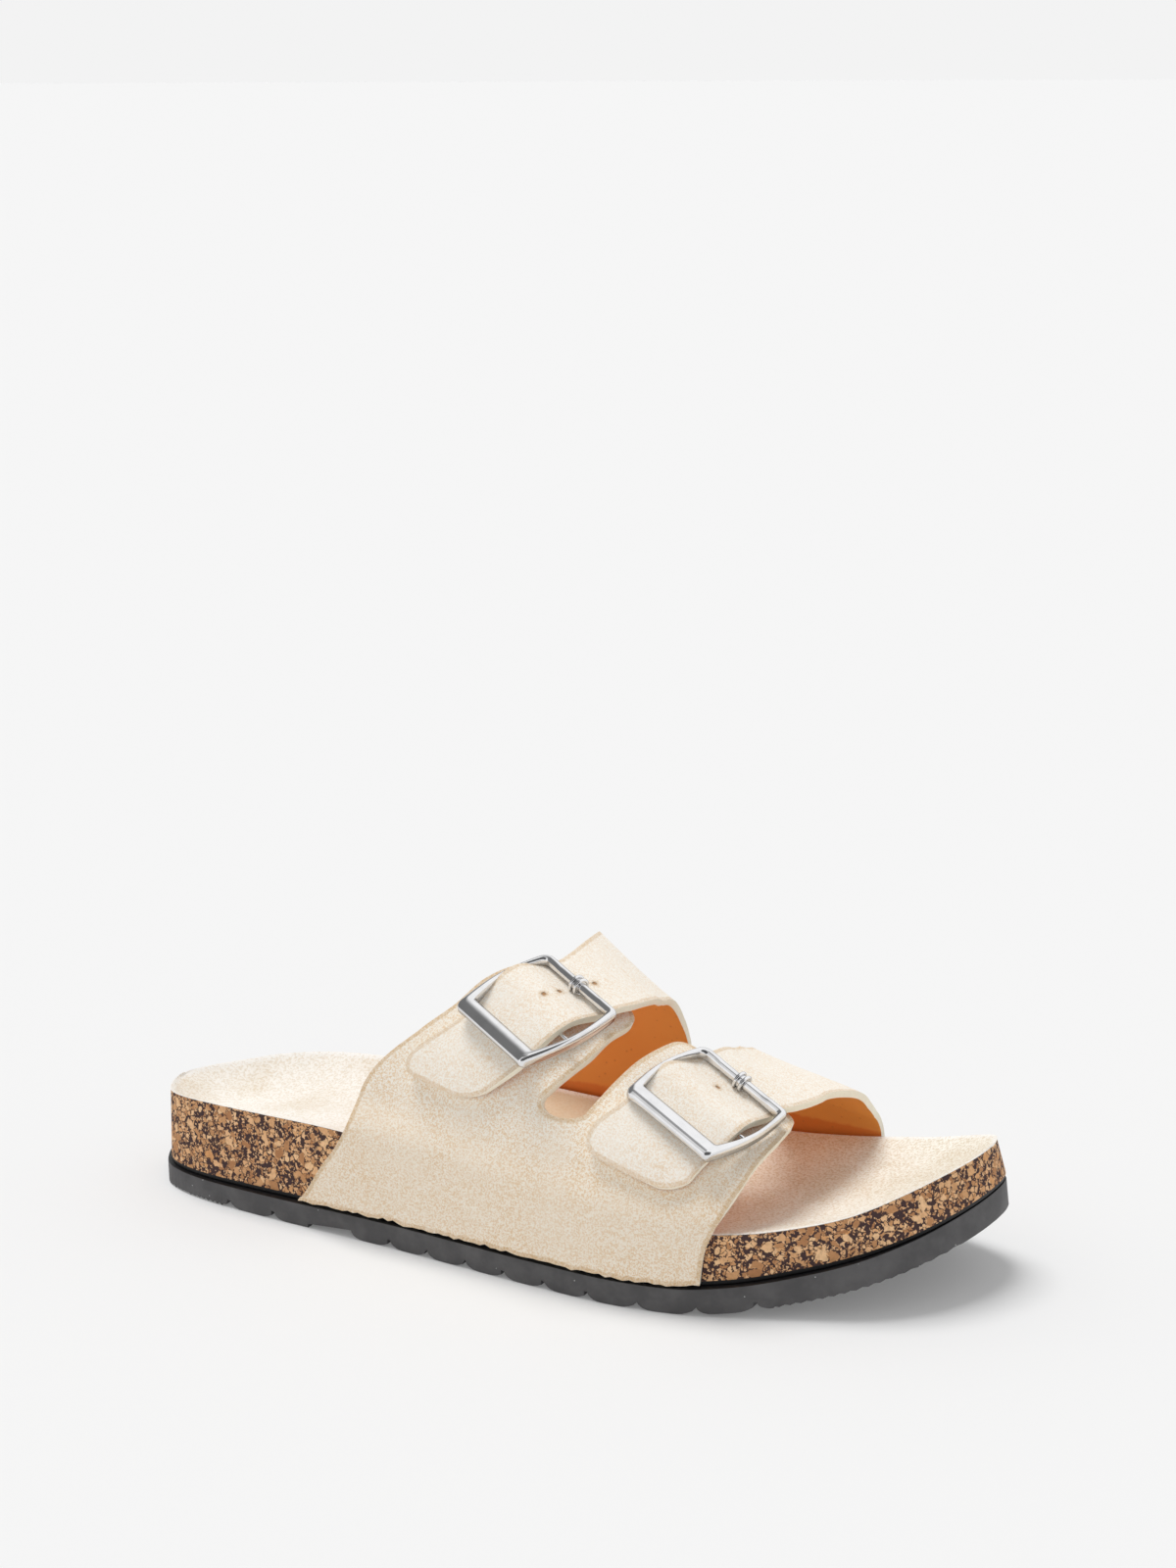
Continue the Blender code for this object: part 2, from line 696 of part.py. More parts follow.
def rail_mesh(name, side, collection):
    """Round rail bowed outwards, from the wide bar to the thin bar."""
    curve = bpy.data.curves.new(name, "CURVE")
    curve.dimensions = "3D"
    curve.bevel_depth = 0.5 * RAIL_WIDTH * MM
    curve.bevel_resolution = 2
    curve.use_fill_caps = True
    spline = curve.splines.new("POLY")
    spline.points.add(RAIL_POINTS - 1)
    start = -0.5 * FRAME_ALONG + 0.5 * WIDE_BAR
    end = 0.5 * FRAME_ALONG - 0.5 * THIN_BAR
    for k in range(RAIL_POINTS):
        share = k / (RAIL_POINTS - 1)
        x = side * (0.5 * FRAME_ACROSS - 0.5 * RAIL_WIDTH + RAIL_BOW * math.sin(math.pi * share))
        spline.points[k].co = (x * MM, mix(start, end, share) * MM, 0.0, 1.0)
    holder = bpy.data.objects.new(name + "_curve", curve)
    collection.objects.link(holder)
    bpy.context.view_layer.update()
    evaluated = holder.evaluated_get(bpy.context.evaluated_depsgraph_get())
    mesh = bpy.data.meshes.new_from_object(evaluated)
    bpy.data.objects.remove(holder)
    builder = bmesh.new()
    builder.from_mesh(mesh)
    return new_object(name, finish_mesh(name, builder), collection)


def add_buckle(seat, parts, cutters):
    """Frame with a wide bar, thin bar, bowed rails and centre bar, and the prong tip on its thin bar."""
    matrix = seat_matrix(seat)
    label = "_" + seat.name
    wide = bar_mesh("wide_bar" + label, (FRAME_ACROSS, WIDE_BAR, FRAME_HEIGHT), WIDE_BAR_ROUND, cutters, 3)
    wide.data.transform(Matrix.Translation((0.0, (0.5 * WIDE_BAR - 0.5 * FRAME_ALONG) * MM, 0.0)))
    frame = new_object("buckle_frame" + label, wide.data.copy(), parts, CHROME)
    bpy.data.objects.remove(wide)
    thin = bar_mesh("thin_bar" + label, (FRAME_ACROSS, THIN_BAR, THIN_BAR), THIN_BAR_ROUND, cutters, 3)
    thin_y = 0.5 * (FRAME_ALONG - THIN_BAR)
    thin.data.transform(Matrix.Translation((0.0, thin_y * MM, 0.0)))
    centre_length = FRAME_ACROSS - RAIL_WIDTH + 2.0 * RAIL_BOW
    size = (centre_length, CENTRE_BAR, CENTRE_BAR)
    centre = bar_mesh("centre_bar" + label, size, CENTRE_BAR_ROUND, cutters, 2)
    centre.data.transform(Matrix.Translation((0.0, 0.0, -CENTRE_BAR_DROP * MM)))
    pieces = [rail_mesh("rear_rail" + label, -1.0, cutters), rail_mesh("front_rail" + label, 1.0, cutters)]
    for piece in [*pieces, thin, centre]:
        piece.matrix_world = matrix
        boolean(frame, piece, "UNION")
    frame.matrix_world = matrix
    add_prong(seat, matrix @ Matrix.Translation((0.0, thin_y * MM, 0.0)), parts)


def add_prong(seat, matrix, parts):
    """Ringed saddle over the upper half of the thin bar."""
    inner = 0.5 * THIN_BAR + SEAT_GAP
    outer = inner + PRONG_WALL
    half = 0.5 * PRONG_WIDTH
    neck = PRONG_NECK * half
    profile = (
        (-half, inner),
        (half, inner),
        (half, outer + PRONG_COLLAR),
        (neck, outer + PRONG_COLLAR),
        (neck, outer),
        (-neck, outer),
        (-neck, outer + PRONG_COLLAR),
        (-half, outer + PRONG_COLLAR),
    )
    name = "prong_" + seat.name
    builder = bmesh.new()
    rings = []
    for k in range(PRONG_STEPS + 1):
        turn = math.radians(mix(*PRONG_SWEEP, k / PRONG_STEPS))
        ring = [builder.verts.new(Vector((x, r * math.cos(turn), r * math.sin(turn))) * MM) for x, r in profile]
        rings.append(ring)
    count = len(profile)
    for first, second in zip(rings, rings[1:]):
        for k in range(count):
            n = (k + 1) % count
            builder.faces.new((first[k], first[n], second[n], second[k]))
    builder.faces.new(rings[0])
    builder.faces.new(list(reversed(rings[-1])))
    prong = new_object(name, finish_mesh(name, builder), parts, CHROME)
    prong.matrix_world = matrix


def main():
    """Build every piece of the shoe."""
    for obj in list(bpy.data.objects):
        bpy.data.objects.remove(obj)
    parts = bpy.data.collections.new(OBJECT_NAME)
    cutters = bpy.data.collections.new("cutters")
    bpy.context.scene.collection.children.link(parts)
    bpy.context.scene.collection.children.link(cutters)
    add_outsole(parts, cutters)
    add_midsole(parts)
    add_insole(parts)
    add_upper(parts, cutters)
    for seat in SEATS:
        add_buckle(seat, parts, cutters)


main()
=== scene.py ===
"""Dressed buckle mule for the right foot: leather, cork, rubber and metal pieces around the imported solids.

Sizes are millimetres along the shoe: x from the back of the heel to the toe, y from the lateral side
(negative) to the medial side (positive), z up from the floor.
"""
import logging
import math
from dataclasses import dataclass, field
from enum import Enum
from typing import Any, Callable, Dict, List, NamedTuple, Optional, Sequence, Tuple, Union

import bpy
from mathutils import Matrix, Vector, kdtree, noise


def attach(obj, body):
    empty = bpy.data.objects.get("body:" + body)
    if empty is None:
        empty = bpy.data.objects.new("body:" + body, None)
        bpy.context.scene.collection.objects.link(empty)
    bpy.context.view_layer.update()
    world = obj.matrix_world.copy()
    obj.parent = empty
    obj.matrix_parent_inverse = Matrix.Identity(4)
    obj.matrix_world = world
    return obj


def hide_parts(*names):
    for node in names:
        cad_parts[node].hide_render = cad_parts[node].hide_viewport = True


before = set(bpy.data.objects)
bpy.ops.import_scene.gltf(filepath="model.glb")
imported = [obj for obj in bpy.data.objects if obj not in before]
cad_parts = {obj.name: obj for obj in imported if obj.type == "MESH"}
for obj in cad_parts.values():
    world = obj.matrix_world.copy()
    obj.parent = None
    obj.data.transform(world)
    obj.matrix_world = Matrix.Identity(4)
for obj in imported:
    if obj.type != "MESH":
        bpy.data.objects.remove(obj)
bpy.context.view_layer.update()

LOG = logging.getLogger("buckle_mule")
MM = 0.001
BODY = "root"

Colour = Tuple[float, float, float]
HeightRule = Callable[[float, float], float]
Link = Union["Value", float, Sequence[float]]


class Side(Enum):
    """Sides of the foot, by the names of the table columns."""

    LATERAL = "lateral"
    MEDIAL = "medial"


class SoleRow(NamedTuple):
    """Half widths of the outsole at a share of its length."""

    share: float
    lateral: float
    medial: float


class RimRow(NamedTuple):
    """Height of the footbed's rims over the outsole, and its dip between them."""

    share: float
    lateral: float
    medial: float
    dip: float


class LastRow(NamedTuple):
    """Cross section of the last: crown place, and how square its shoulders are."""

    x: float
    crown_y: float
    crown_z: float
    lateral: float
    medial: float


class EdgeRow(NamedTuple):
    """Rear and front edge of a quarter at an angle around the last."""

    around: float
    rear: float
    front: float


class BandRow(NamedTuple):
    """Cross line of a tab or strap: where its rear and front edges lie along, around and over the last."""

    rear_x: float
    rear_around: float
    front_x: float
    front_around: float
    rear_lift: float = 0.0
    front_lift: float = 0.0


class Teeth(NamedTuple):
    """Run of fine teeth under the sole."""

    first: float
    last: float
    pitch: float
    depth: float


class Ring(NamedTuple):
    """One level of a sole layer's wall: how far it lies inside the outline, and its height."""

    inset: Callable[[float], float]
    height: HeightRule


def mix(a: float, b: float, share: float) -> float:
    """Blend two numbers."""
    return a + (b - a) * share


def smooth_step(t: float) -> float:
    """Ease from 0 to 1."""
    t = min(max(t, 0.0), 1.0)
    return t * t * (3.0 - 2.0 * t)


class Curve:
    """Smooth curve through a short table, without overshoot."""

    def __init__(self, keys: Sequence[float], values: Sequence[float]) -> None:
        """Work out the slopes of the curve.

        Args:
            keys: Rising positions.
            values: Value at each position.
        """
        self.keys = list(keys)
        self.values = list(values)
        count = len(self.keys) - 1
        self.steps = [self.keys[i + 1] - self.keys[i] for i in range(count)]
        slopes = [(self.values[i + 1] - self.values[i]) / self.steps[i] for i in range(count)]
        self.tangents = [slopes[0]]
        for before, after in zip(slopes, slopes[1:]):
            product = before * after
            self.tangents.append(2.0 * product / (before + after) if product > 0.0 else 0.0)
        self.tangents.append(slopes[-1])

    @classmethod
    def of(cls, rows: Sequence[Any], key: str, value: str) -> "Curve":
        """Read two named columns of a table as a curve."""
        return cls([getattr(row, key) for row in rows], [getattr(row, value) for row in rows])

    def __call__(self, key: float) -> float:
        """Read the curve.

        Args:
            key: Position to read at.

        Returns:
            The value there, held level past both ends.
        """
        if key <= self.keys[0]:
            return self.values[0]
        if key >= self.keys[-1]:
            return self.values[-1]
        i = 0
        while key > self.keys[i + 1]:
            i += 1
        t = (key - self.keys[i]) / self.steps[i]
        first, second = self.values[i], self.values[i + 1]
        level = (1.0 + 2.0 * t) * (1.0 - t) ** 2 * first + t * t * (3.0 - 2.0 * t) * second
        lean = t * (1.0 - t) ** 2 * self.tangents[i] - t * t * (1.0 - t) * self.tangents[i + 1]
        return level + lean * self.steps[i]


class Bench:
    """Modelling steps made with Blender's own operators."""

    SHARE = "share"
    EDGE = "edge"
    DOUBLE = 0.000002
    SLIVER = 0.000001
    SHARP = math.radians(50.0)

    @staticmethod
    def clear() -> None:
        """Deselect everything."""
        bpy.ops.object.select_all(action="DESELECT")

    @staticmethod
    def pick(*objects: bpy.types.Object) -> bpy.types.Object:
        """Select some objects, the first one active.

        Args:
            objects: Objects to select.

        Returns:
            The active object.
        """
        Bench.clear()
        for obj in objects:
            obj.select_set(True)
        bpy.context.view_layer.objects.active = objects[0]
        return objects[0]

    @staticmethod
    def named(name: str) -> bpy.types.Object:
        """Name the primitive that was just added.

        Args:
            name: Its name.

        Returns:
            The new object.
        """
        obj = bpy.context.active_object
        obj.name = name
        obj.data.name = name
        return obj

    @staticmethod
    def grid(name: str, columns: int, rows: int, place: Callable[[int, int], Vector]) -> bpy.types.Object:
        """Add a flat grid and pull its points into shape.

        Args:
            name: Name of the new object.
            columns: Faces along the first direction.
            rows: Faces along the second direction.
            place: Place of the point at a column and row, in metres.

        Returns:
            The shaped sheet, each point keeping its column and row as an attribute.
        """
        Bench.clear()
        bpy.ops.mesh.primitive_grid_add(x_subdivisions=columns, y_subdivisions=rows, size=2.0)
        obj = Bench.named(name)
        share = obj.data.attributes.new(Bench.SHARE, "FLOAT_VECTOR", "POINT")
        for vertex in obj.data.vertices:
            column = round((0.5 + 0.5 * vertex.co.x) * columns)
            row = round((0.5 + 0.5 * vertex.co.y) * rows)
            share.data[vertex.index].vector = (column, row, 0.0)
            vertex.co = place(column, row)
        return obj

    @staticmethod
    def extrude(obj: bpy.types.Object, place: Callable[[int, int], Vector], whole: bool) -> None:
        """Extrude the selected faces of a shaped grid to the next level.

        Args:
            obj: Sheet or body made from a grid.
            place: New place of the point at a column and row.
            whole: Whether all faces are selected first.
        """
        Bench.pick(obj)
        bpy.ops.object.mode_set(mode="EDIT")
        if whole:
            bpy.ops.mesh.select_all(action="SELECT")
        bpy.ops.mesh.extrude_region_move()
        bpy.ops.object.mode_set(mode="OBJECT")
        share = obj.data.attributes[Bench.SHARE]
        for vertex in obj.data.vertices:
            if vertex.select:
                column, row, _ = share.data[vertex.index].vector
                vertex.co = place(round(column), round(row))

    @staticmethod
    def join(name: str, objects: Sequence[bpy.types.Object]) -> bpy.types.Object:
        """Join several objects into one.

        Args:
            name: Name of the joined object.
            objects: Objects to join.

        Returns:
            The joined object.
        """
        obj = Bench.pick(*objects)
        bpy.ops.object.join()
        obj.name = name
        obj.data.name = name
        return obj

    @staticmethod
    def weld(obj: bpy.types.Object) -> None:
        """Merge doubled points and make the faces point one way.

        Args:
            obj: Piece to weld.
        """
        Bench.pick(obj)
        bpy.ops.object.mode_set(mode="EDIT")
        bpy.ops.mesh.select_all(action="SELECT")
        bpy.ops.mesh.remove_doubles(threshold=Bench.DOUBLE)
        bpy.ops.mesh.dissolve_degenerate(threshold=Bench.SLIVER)
        bpy.ops.mesh.normals_make_consistent(inside=False)
        bpy.ops.object.mode_set(mode="OBJECT")

    @staticmethod
    def free_edge(obj: bpy.types.Object) -> List[int]:
        """Points along the free edge of a sheet.

        Args:
            obj: Sheet to read.

        Returns:
            Numbers of the points.
        """
        sides: Dict[Tuple[int, int], int] = {}
        for face in obj.data.polygons:
            for key in face.edge_keys:
                sides[key] = sides.get(key, 0) + 1
        return sorted({index for key, count in sides.items() if count == 1 for index in key})

    @staticmethod
    def mark_edges(obj: bpy.types.Object, rim: Sequence[int]) -> None:
        """Give each point its distance in millimetres from a rim.

        Args:
            obj: Piece to mark.
            rim: Points along the rim.
        """
        mesh = obj.data
        tree = kdtree.KDTree(len(rim))
        for index in rim:
            tree.insert(mesh.vertices[index].co, index)
        tree.balance()
        marks = mesh.attributes.new(Bench.EDGE, "FLOAT", "POINT")
        for vertex in mesh.vertices:
            marks.data[vertex.index].value = tree.find(vertex.co)[2] / MM

    @staticmethod
    def apply(obj: bpy.types.Object, kind: str, **settings: Any) -> None:
        """Add a modifier and apply it.

        Args:
            obj: Piece to modify.
            kind: Modifier type.
            settings: Modifier settings.
        """
        Bench.pick(obj)
        modifier = obj.modifiers.new(kind.lower(), kind)
        for name, value in settings.items():
            setattr(modifier, name, value)
        bpy.ops.object.modifier_apply(modifier=modifier.name)

    @staticmethod
    def settle(obj: bpy.types.Object) -> None:
        """Bring a piece's place into its mesh."""
        Bench.pick(obj)
        bpy.ops.object.transform_apply(location=True, rotation=True, scale=True)

    @staticmethod
    def hand_over(obj: bpy.types.Object, node: str, slot: str, angle: float) -> None:
        """Smooth a finished piece and hang it on the frame.

        Args:
            obj: Finished piece.
            node: Solid that it stands for.
            slot: Material slot of the record; not used.
            angle: Edges sharper than this stay crisp.
        """
        share = obj.data.attributes.get(Bench.SHARE)
        if share is not None:
            obj.data.attributes.remove(share)
        Bench.pick(obj)
        bpy.ops.object.shade_smooth_by_angle(angle=math.radians(angle))
        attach(obj, BODY)
        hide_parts(node)
        triangles = sum(len(face.vertices) - 2 for face in obj.data.polygons)
        LOG.info("%s: %d triangles", obj.name, triangles)


class Value:
    """Output socket of a shader node, so that shader maths reads as arithmetic."""

    def __init__(self, nodes: "Nodes", socket: bpy.types.NodeSocket) -> None:
        """Keep a socket and the node tree that it belongs to."""
        self.nodes = nodes
        self.socket = socket

    def math(self, operation: str, *others: Link, swap: bool = False) -> "Value":
        """Add a Math node.

        Args:
            operation: Name of the operation.
            others: Further operands.
            swap: Whether this value is the second operand.

        Returns:
            The result.
        """
        operands: List[Link] = [self, *others]
        if swap:
            operands.reverse()
        return self.nodes.node("ShaderNodeMath", {"operation": operation}, dict(enumerate(operands)))

    def __add__(self, other: Link) -> "Value":
        """Add."""
        return self.math("ADD", other)

    __radd__ = __add__

    def __sub__(self, other: Link) -> "Value":
        """Subtract."""
        return self.math("SUBTRACT", other)

    def __rsub__(self, other: Link) -> "Value":
        """Subtract from a number."""
        return self.math("SUBTRACT", other, swap=True)

    def __mul__(self, other: Link) -> "Value":
        """Multiply."""
        return self.math("MULTIPLY", other)

    __rmul__ = __mul__

    def __gt__(self, other: Link) -> "Value":
        """Give 1 where this value is the greater one."""
        return self.math("GREATER_THAN", other)

    def __lt__(self, other: Link) -> "Value":
        """Give 1 where this value is the smaller one."""
        return self.math("LESS_THAN", other)

    def ease(self, low: float, high: float) -> "Value":
        """Rise smoothly from 0 at low to 1 at high.

        Args:
            low: Value that gives 0.
            high: Value that gives 1.

        Returns:
            The eased value.
        """
        settings = {"interpolation_type": "SMOOTHSTEP"}
        links = {"Value": self, "From Min": low, "From Max": high}
        return self.nodes.node("ShaderNodeMapRange", settings, links, "Result")


class Nodes:
    """Node tree under construction."""

    def __init__(self, tree: bpy.types.NodeTree) -> None:
        """Keep the tree."""
        self.tree = tree

    def node(self, kind: str, settings: Dict[str, Any], links: Dict[Any, Link],
             output: Union[str, int] = 0) -> Value:
        """Add any node.

        Args:
            kind: Type of the node.
            settings: Properties, set first. "stops" gives a colour ramp's stops.
            links: Values or links of its sockets, by name or number.
            output: Output that is wanted.

        Returns:
            The output.
        """
        made = self.tree.nodes.new(kind)
        for name, value in settings.items():
            if name == "stops":
                elements = made.color_ramp.elements
                while len(elements) < len(value):
                    elements.new(1.0)
                for element, (position, colour) in zip(elements, value):
                    element.position = position
                    element.color = (*colour, 1.0)
            else:
                setattr(made, name, value)
        for name, value in links.items():
            if isinstance(value, Value):
                self.tree.links.new(value.socket, made.inputs[name])
            else:
                made.inputs[name].default_value = value
        return Value(self, made.outputs[output])

    def ramp(self, value: Value, *stops: Tuple[float, Colour]) -> Value:
        """Colour ramp over a value."""
        return self.node("ShaderNodeValToRGB", {"stops": stops}, {"Fac": value}, "Color")

    def blend(self, share: Link, first: Link, second: Link) -> Value:
        """Mix two colours.

        Args:
            share: How much of the second one shows.
            first: First colour.
            second: Second colour.

        Returns:
            The mixed colour.
        """
        colours = [c if isinstance(c, Value) else (*c, 1.0) for c in (first, second)]
        links = {0: share, 6: colours[0], 7: colours[1]}
        return self.node("ShaderNodeMix", {"data_type": "RGBA"}, links, 2)

    def vector(self, operation: str, first: Link, second: Link, output: Union[str, int] = 0) -> Value:
        """Add a Vector Math node.

        Args:
            operation: Name of the operation.
            first: First operand.
            second: Second operand.
            output: Output that is wanted.

        Returns:
            The output.
        """
        return self.node("ShaderNodeVectorMath", {"operation": operation}, {0: first, 1: second}, output)


class Shader(Nodes):
    """Node material under construction."""

    def __init__(self, name: str, roughness: float, metallic: float = 0.0) -> None:
        """Start a Principled material.

        Args:
            name: Name of the material.
            roughness: Overall roughness.
            metallic: Overall metallic value.
        """
        self.material = bpy.data.materials.new(name)
        self.material.use_nodes = True
        super().__init__(self.material.node_tree)
        self.surface = self.tree.nodes["Principled BSDF"]
        self.set(Roughness=roughness, Metallic=metallic)

    def set(self, **values: Any) -> None:
        """Set constants on the surface's own sockets, with _ for a space in the socket's name."""
        for name, value in values.items():
            self.surface.inputs[name.replace("_", " ")].default_value = value

    def feed(self, socket: str, value: Value) -> None:
        """Link a value to one of the surface's sockets."""
        self.tree.links.new(value.socket, self.surface.inputs[socket])

    def place(self) -> Value:
        """Place on the object, in metres."""
        return self.node("ShaderNodeTexCoord", {}, {}, "Object")

    def along(self, axis: str) -> Value:
        """One axis of the place on the object."""
        return self.node("ShaderNodeSeparateXYZ", {}, {0: self.place()}, axis)

    def edge(self) -> Value:
        """Distance from the rim of the piece, in millimetres."""
        return self.node("ShaderNodeAttribute", {"attribute_name": Bench.EDGE}, {}, "Fac")

    def stretched(self, turn: Sequence[float], scale: Sequence[float]) -> Value:
        """Place on the object, turned and stretched."""
        return self.node("ShaderNodeMapping", {}, {"Vector": self.place(), "Rotation": turn, "Scale": scale})

    def grain(self, size: float, detail: float = 2.0, rough: float = 0.5, at: Optional[Value] = None,
              output: str = "Fac") -> Value:
        """Soft noise whose features are about one size.

        Args:
            size: Size of the features in millimetres.
            detail: Number of finer layers.
            rough: Strength of the finer layers.
            at: Place to read at, the object's own if left out.
            output: Output of the noise.

        Returns:
            The noise.
        """
        links = {"Vector": at or self.place(), "Scale": 1.0 / (size * MM),
                 "Detail": detail, "Roughness": rough}
        return self.node("ShaderNodeTexNoise", {}, links, output)

    def flakes(self, size: float, feature: str, output: str, at: Optional[Value] = None) -> Value:
        """Cells of about one size.

        Args:
            size: Size of the cells in millimetres.
            feature: What the cells measure.
            output: Output that is wanted.
            at: Place to read at.

        Returns:
            The output.
        """
        links = {"Vector": at or self.place(), "Scale": 1.0 / (size * MM), "Randomness": 1.0}
        return self.node("ShaderNodeTexVoronoi", {"feature": feature}, links, output)

    def relief(self, height: Value, depth: float, strength: float) -> Value:
        """Bump a surface.

        Args:
            height: Height from 0 to 1.
            depth: Depth of the relief in millimetres.
            strength: Share of the relief that shows.

        Returns:
            The bumped normal.
        """
        links = {"Height": height, "Distance": depth * MM, "Strength": strength}
        return self.node("ShaderNodeBump", {}, links, "Normal")


@dataclass(frozen=True)
class FauxSuede:
    """Cream faux suede with a fine warm grain, painted shade making it greyer towards the bottom and palest
    higher up, and punched holes with brown wear round them and painted shade inside.
    """

    name: str = "cream_faux_suede"
    pale: Colour = (1.0, 0.95, 0.86)
    warm: Colour = (0.78, 0.52, 0.26)
    # painted shade: the greyer colour of the lower, shaded part of the quarter
    grey: Colour = (0.98, 0.89, 0.76)
    # painted shade: dark brown put inside the punched holes
    worn: Colour = (0.42, 0.20, 0.07)
    rim: Colour = (0.66, 0.44, 0.22)
    rim_reach: Tuple[float, float] = (1.0, 1.55)
    rim_weight: float = 0.7
    grain_size: float = 0.6
    patch_size: float = 14.0
    painted_shade_reach: Tuple[float, float] = (0.020, 0.058)
    relief: Tuple[float, float] = (0.22, 0.7)
    scuffs: float = 0.0
    speckle: float = 1.0
    roughness: float = 0.88
    hole_radius: float = 0.55
    wear_radius: float = 2.4
    holes: Tuple[Vector, ...] = ()

    def material(self) -> bpy.types.Material:
        """Build the material.

        Returns:
            The finished material.
        """
        shader = Shader(self.name, self.roughness)
        shader.set(Sheen_Weight=0.2, Sheen_Roughness=0.5, Specular_IOR_Level=0.2)
        drift = shader.grain(self.patch_size, 2.0)
        fine = shader.grain(self.grain_size, 3.0, 0.65)
        specks = shader.grain(0.55 * self.grain_size, 2.0, 0.6)
        # painted shade: greyer towards the bottom, paler higher up, broken up by the drift
        painted_shade_fade = shader.along("Z").ease(*self.painted_shade_reach) + (drift - 0.5) * 0.5
        body = shader.blend(painted_shade_fade.ease(0.0, 1.0), self.grey, self.pale)
        grain = (fine * 0.55 + specks * 0.45).ease(0.43, 0.55)
        weight = (drift * 0.7 + 0.3) * (1.0 - grain) * self.speckle
        colour = shader.blend(weight, body, self.warm)
        brushed = shader.grain(1.1, 3.0, 0.6, shader.stretched((0.0, 0.0, 0.35), (0.22, 1.0, 1.0)))
        scuffed = brushed.ease(0.55, 0.72) * drift.ease(0.4, 0.6) * self.scuffs
        colour = shader.blend(scuffed, colour, self.warm)
        line = 1.0 - shader.edge().ease(*self.rim_reach)
        rim = line * shader.grain(3.0, 3.0, 0.6).ease(0.20, 0.50)
        colour = shader.blend(rim * (1.0 - grain * 0.3) * self.rim_weight, colour, self.rim)
        height: Value = fine * 0.6 + specks * 0.4
        for hole in self.holes:
            away = shader.vector("DISTANCE", shader.place(), hole, "Value")
            wear_and_shade = 1.0 - away.ease(self.hole_radius * MM, self.wear_radius * MM)
            # painted shade: the inside of each hole is darkened; the ring round it is wear
            painted_hole_shade = 1.0 - away.ease(0.6 * self.hole_radius * MM, 1.6 * self.hole_radius * MM)
            colour = shader.blend(wear_and_shade * (1.0 - grain * 0.5) * 0.7, colour, self.rim)
            colour = shader.blend(painted_hole_shade * 0.9, colour, self.worn)
            height = height - painted_hole_shade * 4.0
        shader.feed("Base Color", colour)
        shader.feed("Normal", shader.relief(height, *self.relief))
        return shader.material


@dataclass(frozen=True)
class CutEdge:
    """Pale painted cut edge of the leather."""

    name: str = "pale_cut_edge"
    colour: Colour = (0.95, 0.90, 0.76)
    dark: Colour = (0.84, 0.76, 0.58)
    relief: Tuple[float, float] = (0.05, 0.3)
    roughness: float = 0.6

    def material(self) -> bpy.types.Material:
        """Build the material.

        Returns:
            The finished material.
        """
        shader = Shader(self.name, self.roughness)
        fibres = shader.grain(0.8, 3.0, 0.6)
        shader.feed("Base Color", shader.blend((1.0 - fibres.ease(0.3, 0.55)) * 0.3, self.colour, self.dark))
        shader.feed("Normal", shader.relief(fibres, *self.relief))
        return shader.material


@dataclass(frozen=True)
class TanLining:
    """Smooth tan lining, redder where it runs down to the footbed."""

    name: str = "tan_lining"
    colour: Colour = (0.90, 0.38, 0.085)
    low: Colour = (0.78, 0.22, 0.040)
    pore: Colour = (0.58, 0.19, 0.045)
    low_slope: float = 0.09
    low_reach: Tuple[float, float] = (0.0345, 0.0333)
    pore_size: float = 2.6
    relief: Tuple[float, float] = (0.05, 0.3)
    roughness: float = 0.5

    def material(self) -> bpy.types.Material:
        """Build the material.

        Returns:
            The finished material.
        """
        shader = Shader(self.name, self.roughness)
        shader.set(Specular_IOR_Level=0.35)
        drift = shader.grain(18.0, 2.0)
        pores = shader.flakes(self.pore_size, "F1", "Distance").ease(0.10, 0.16)
        slope = shader.along("Z") + shader.along("X") * self.low_slope
        fall = (slope + shader.grain(2.5, 3.0, 0.6) * 0.002).ease(*self.low_reach)
        body = shader.blend(fall * 0.85, self.colour, self.low)
        body = shader.blend((drift - 0.35) * 0.35, body, self.pore)
        shader.feed("Base Color", shader.blend((1.0 - pores) * 0.45, body, self.pore))
        shader.feed("Normal", shader.relief(shader.grain(0.5, 2.0), *self.relief))
        return shader.material


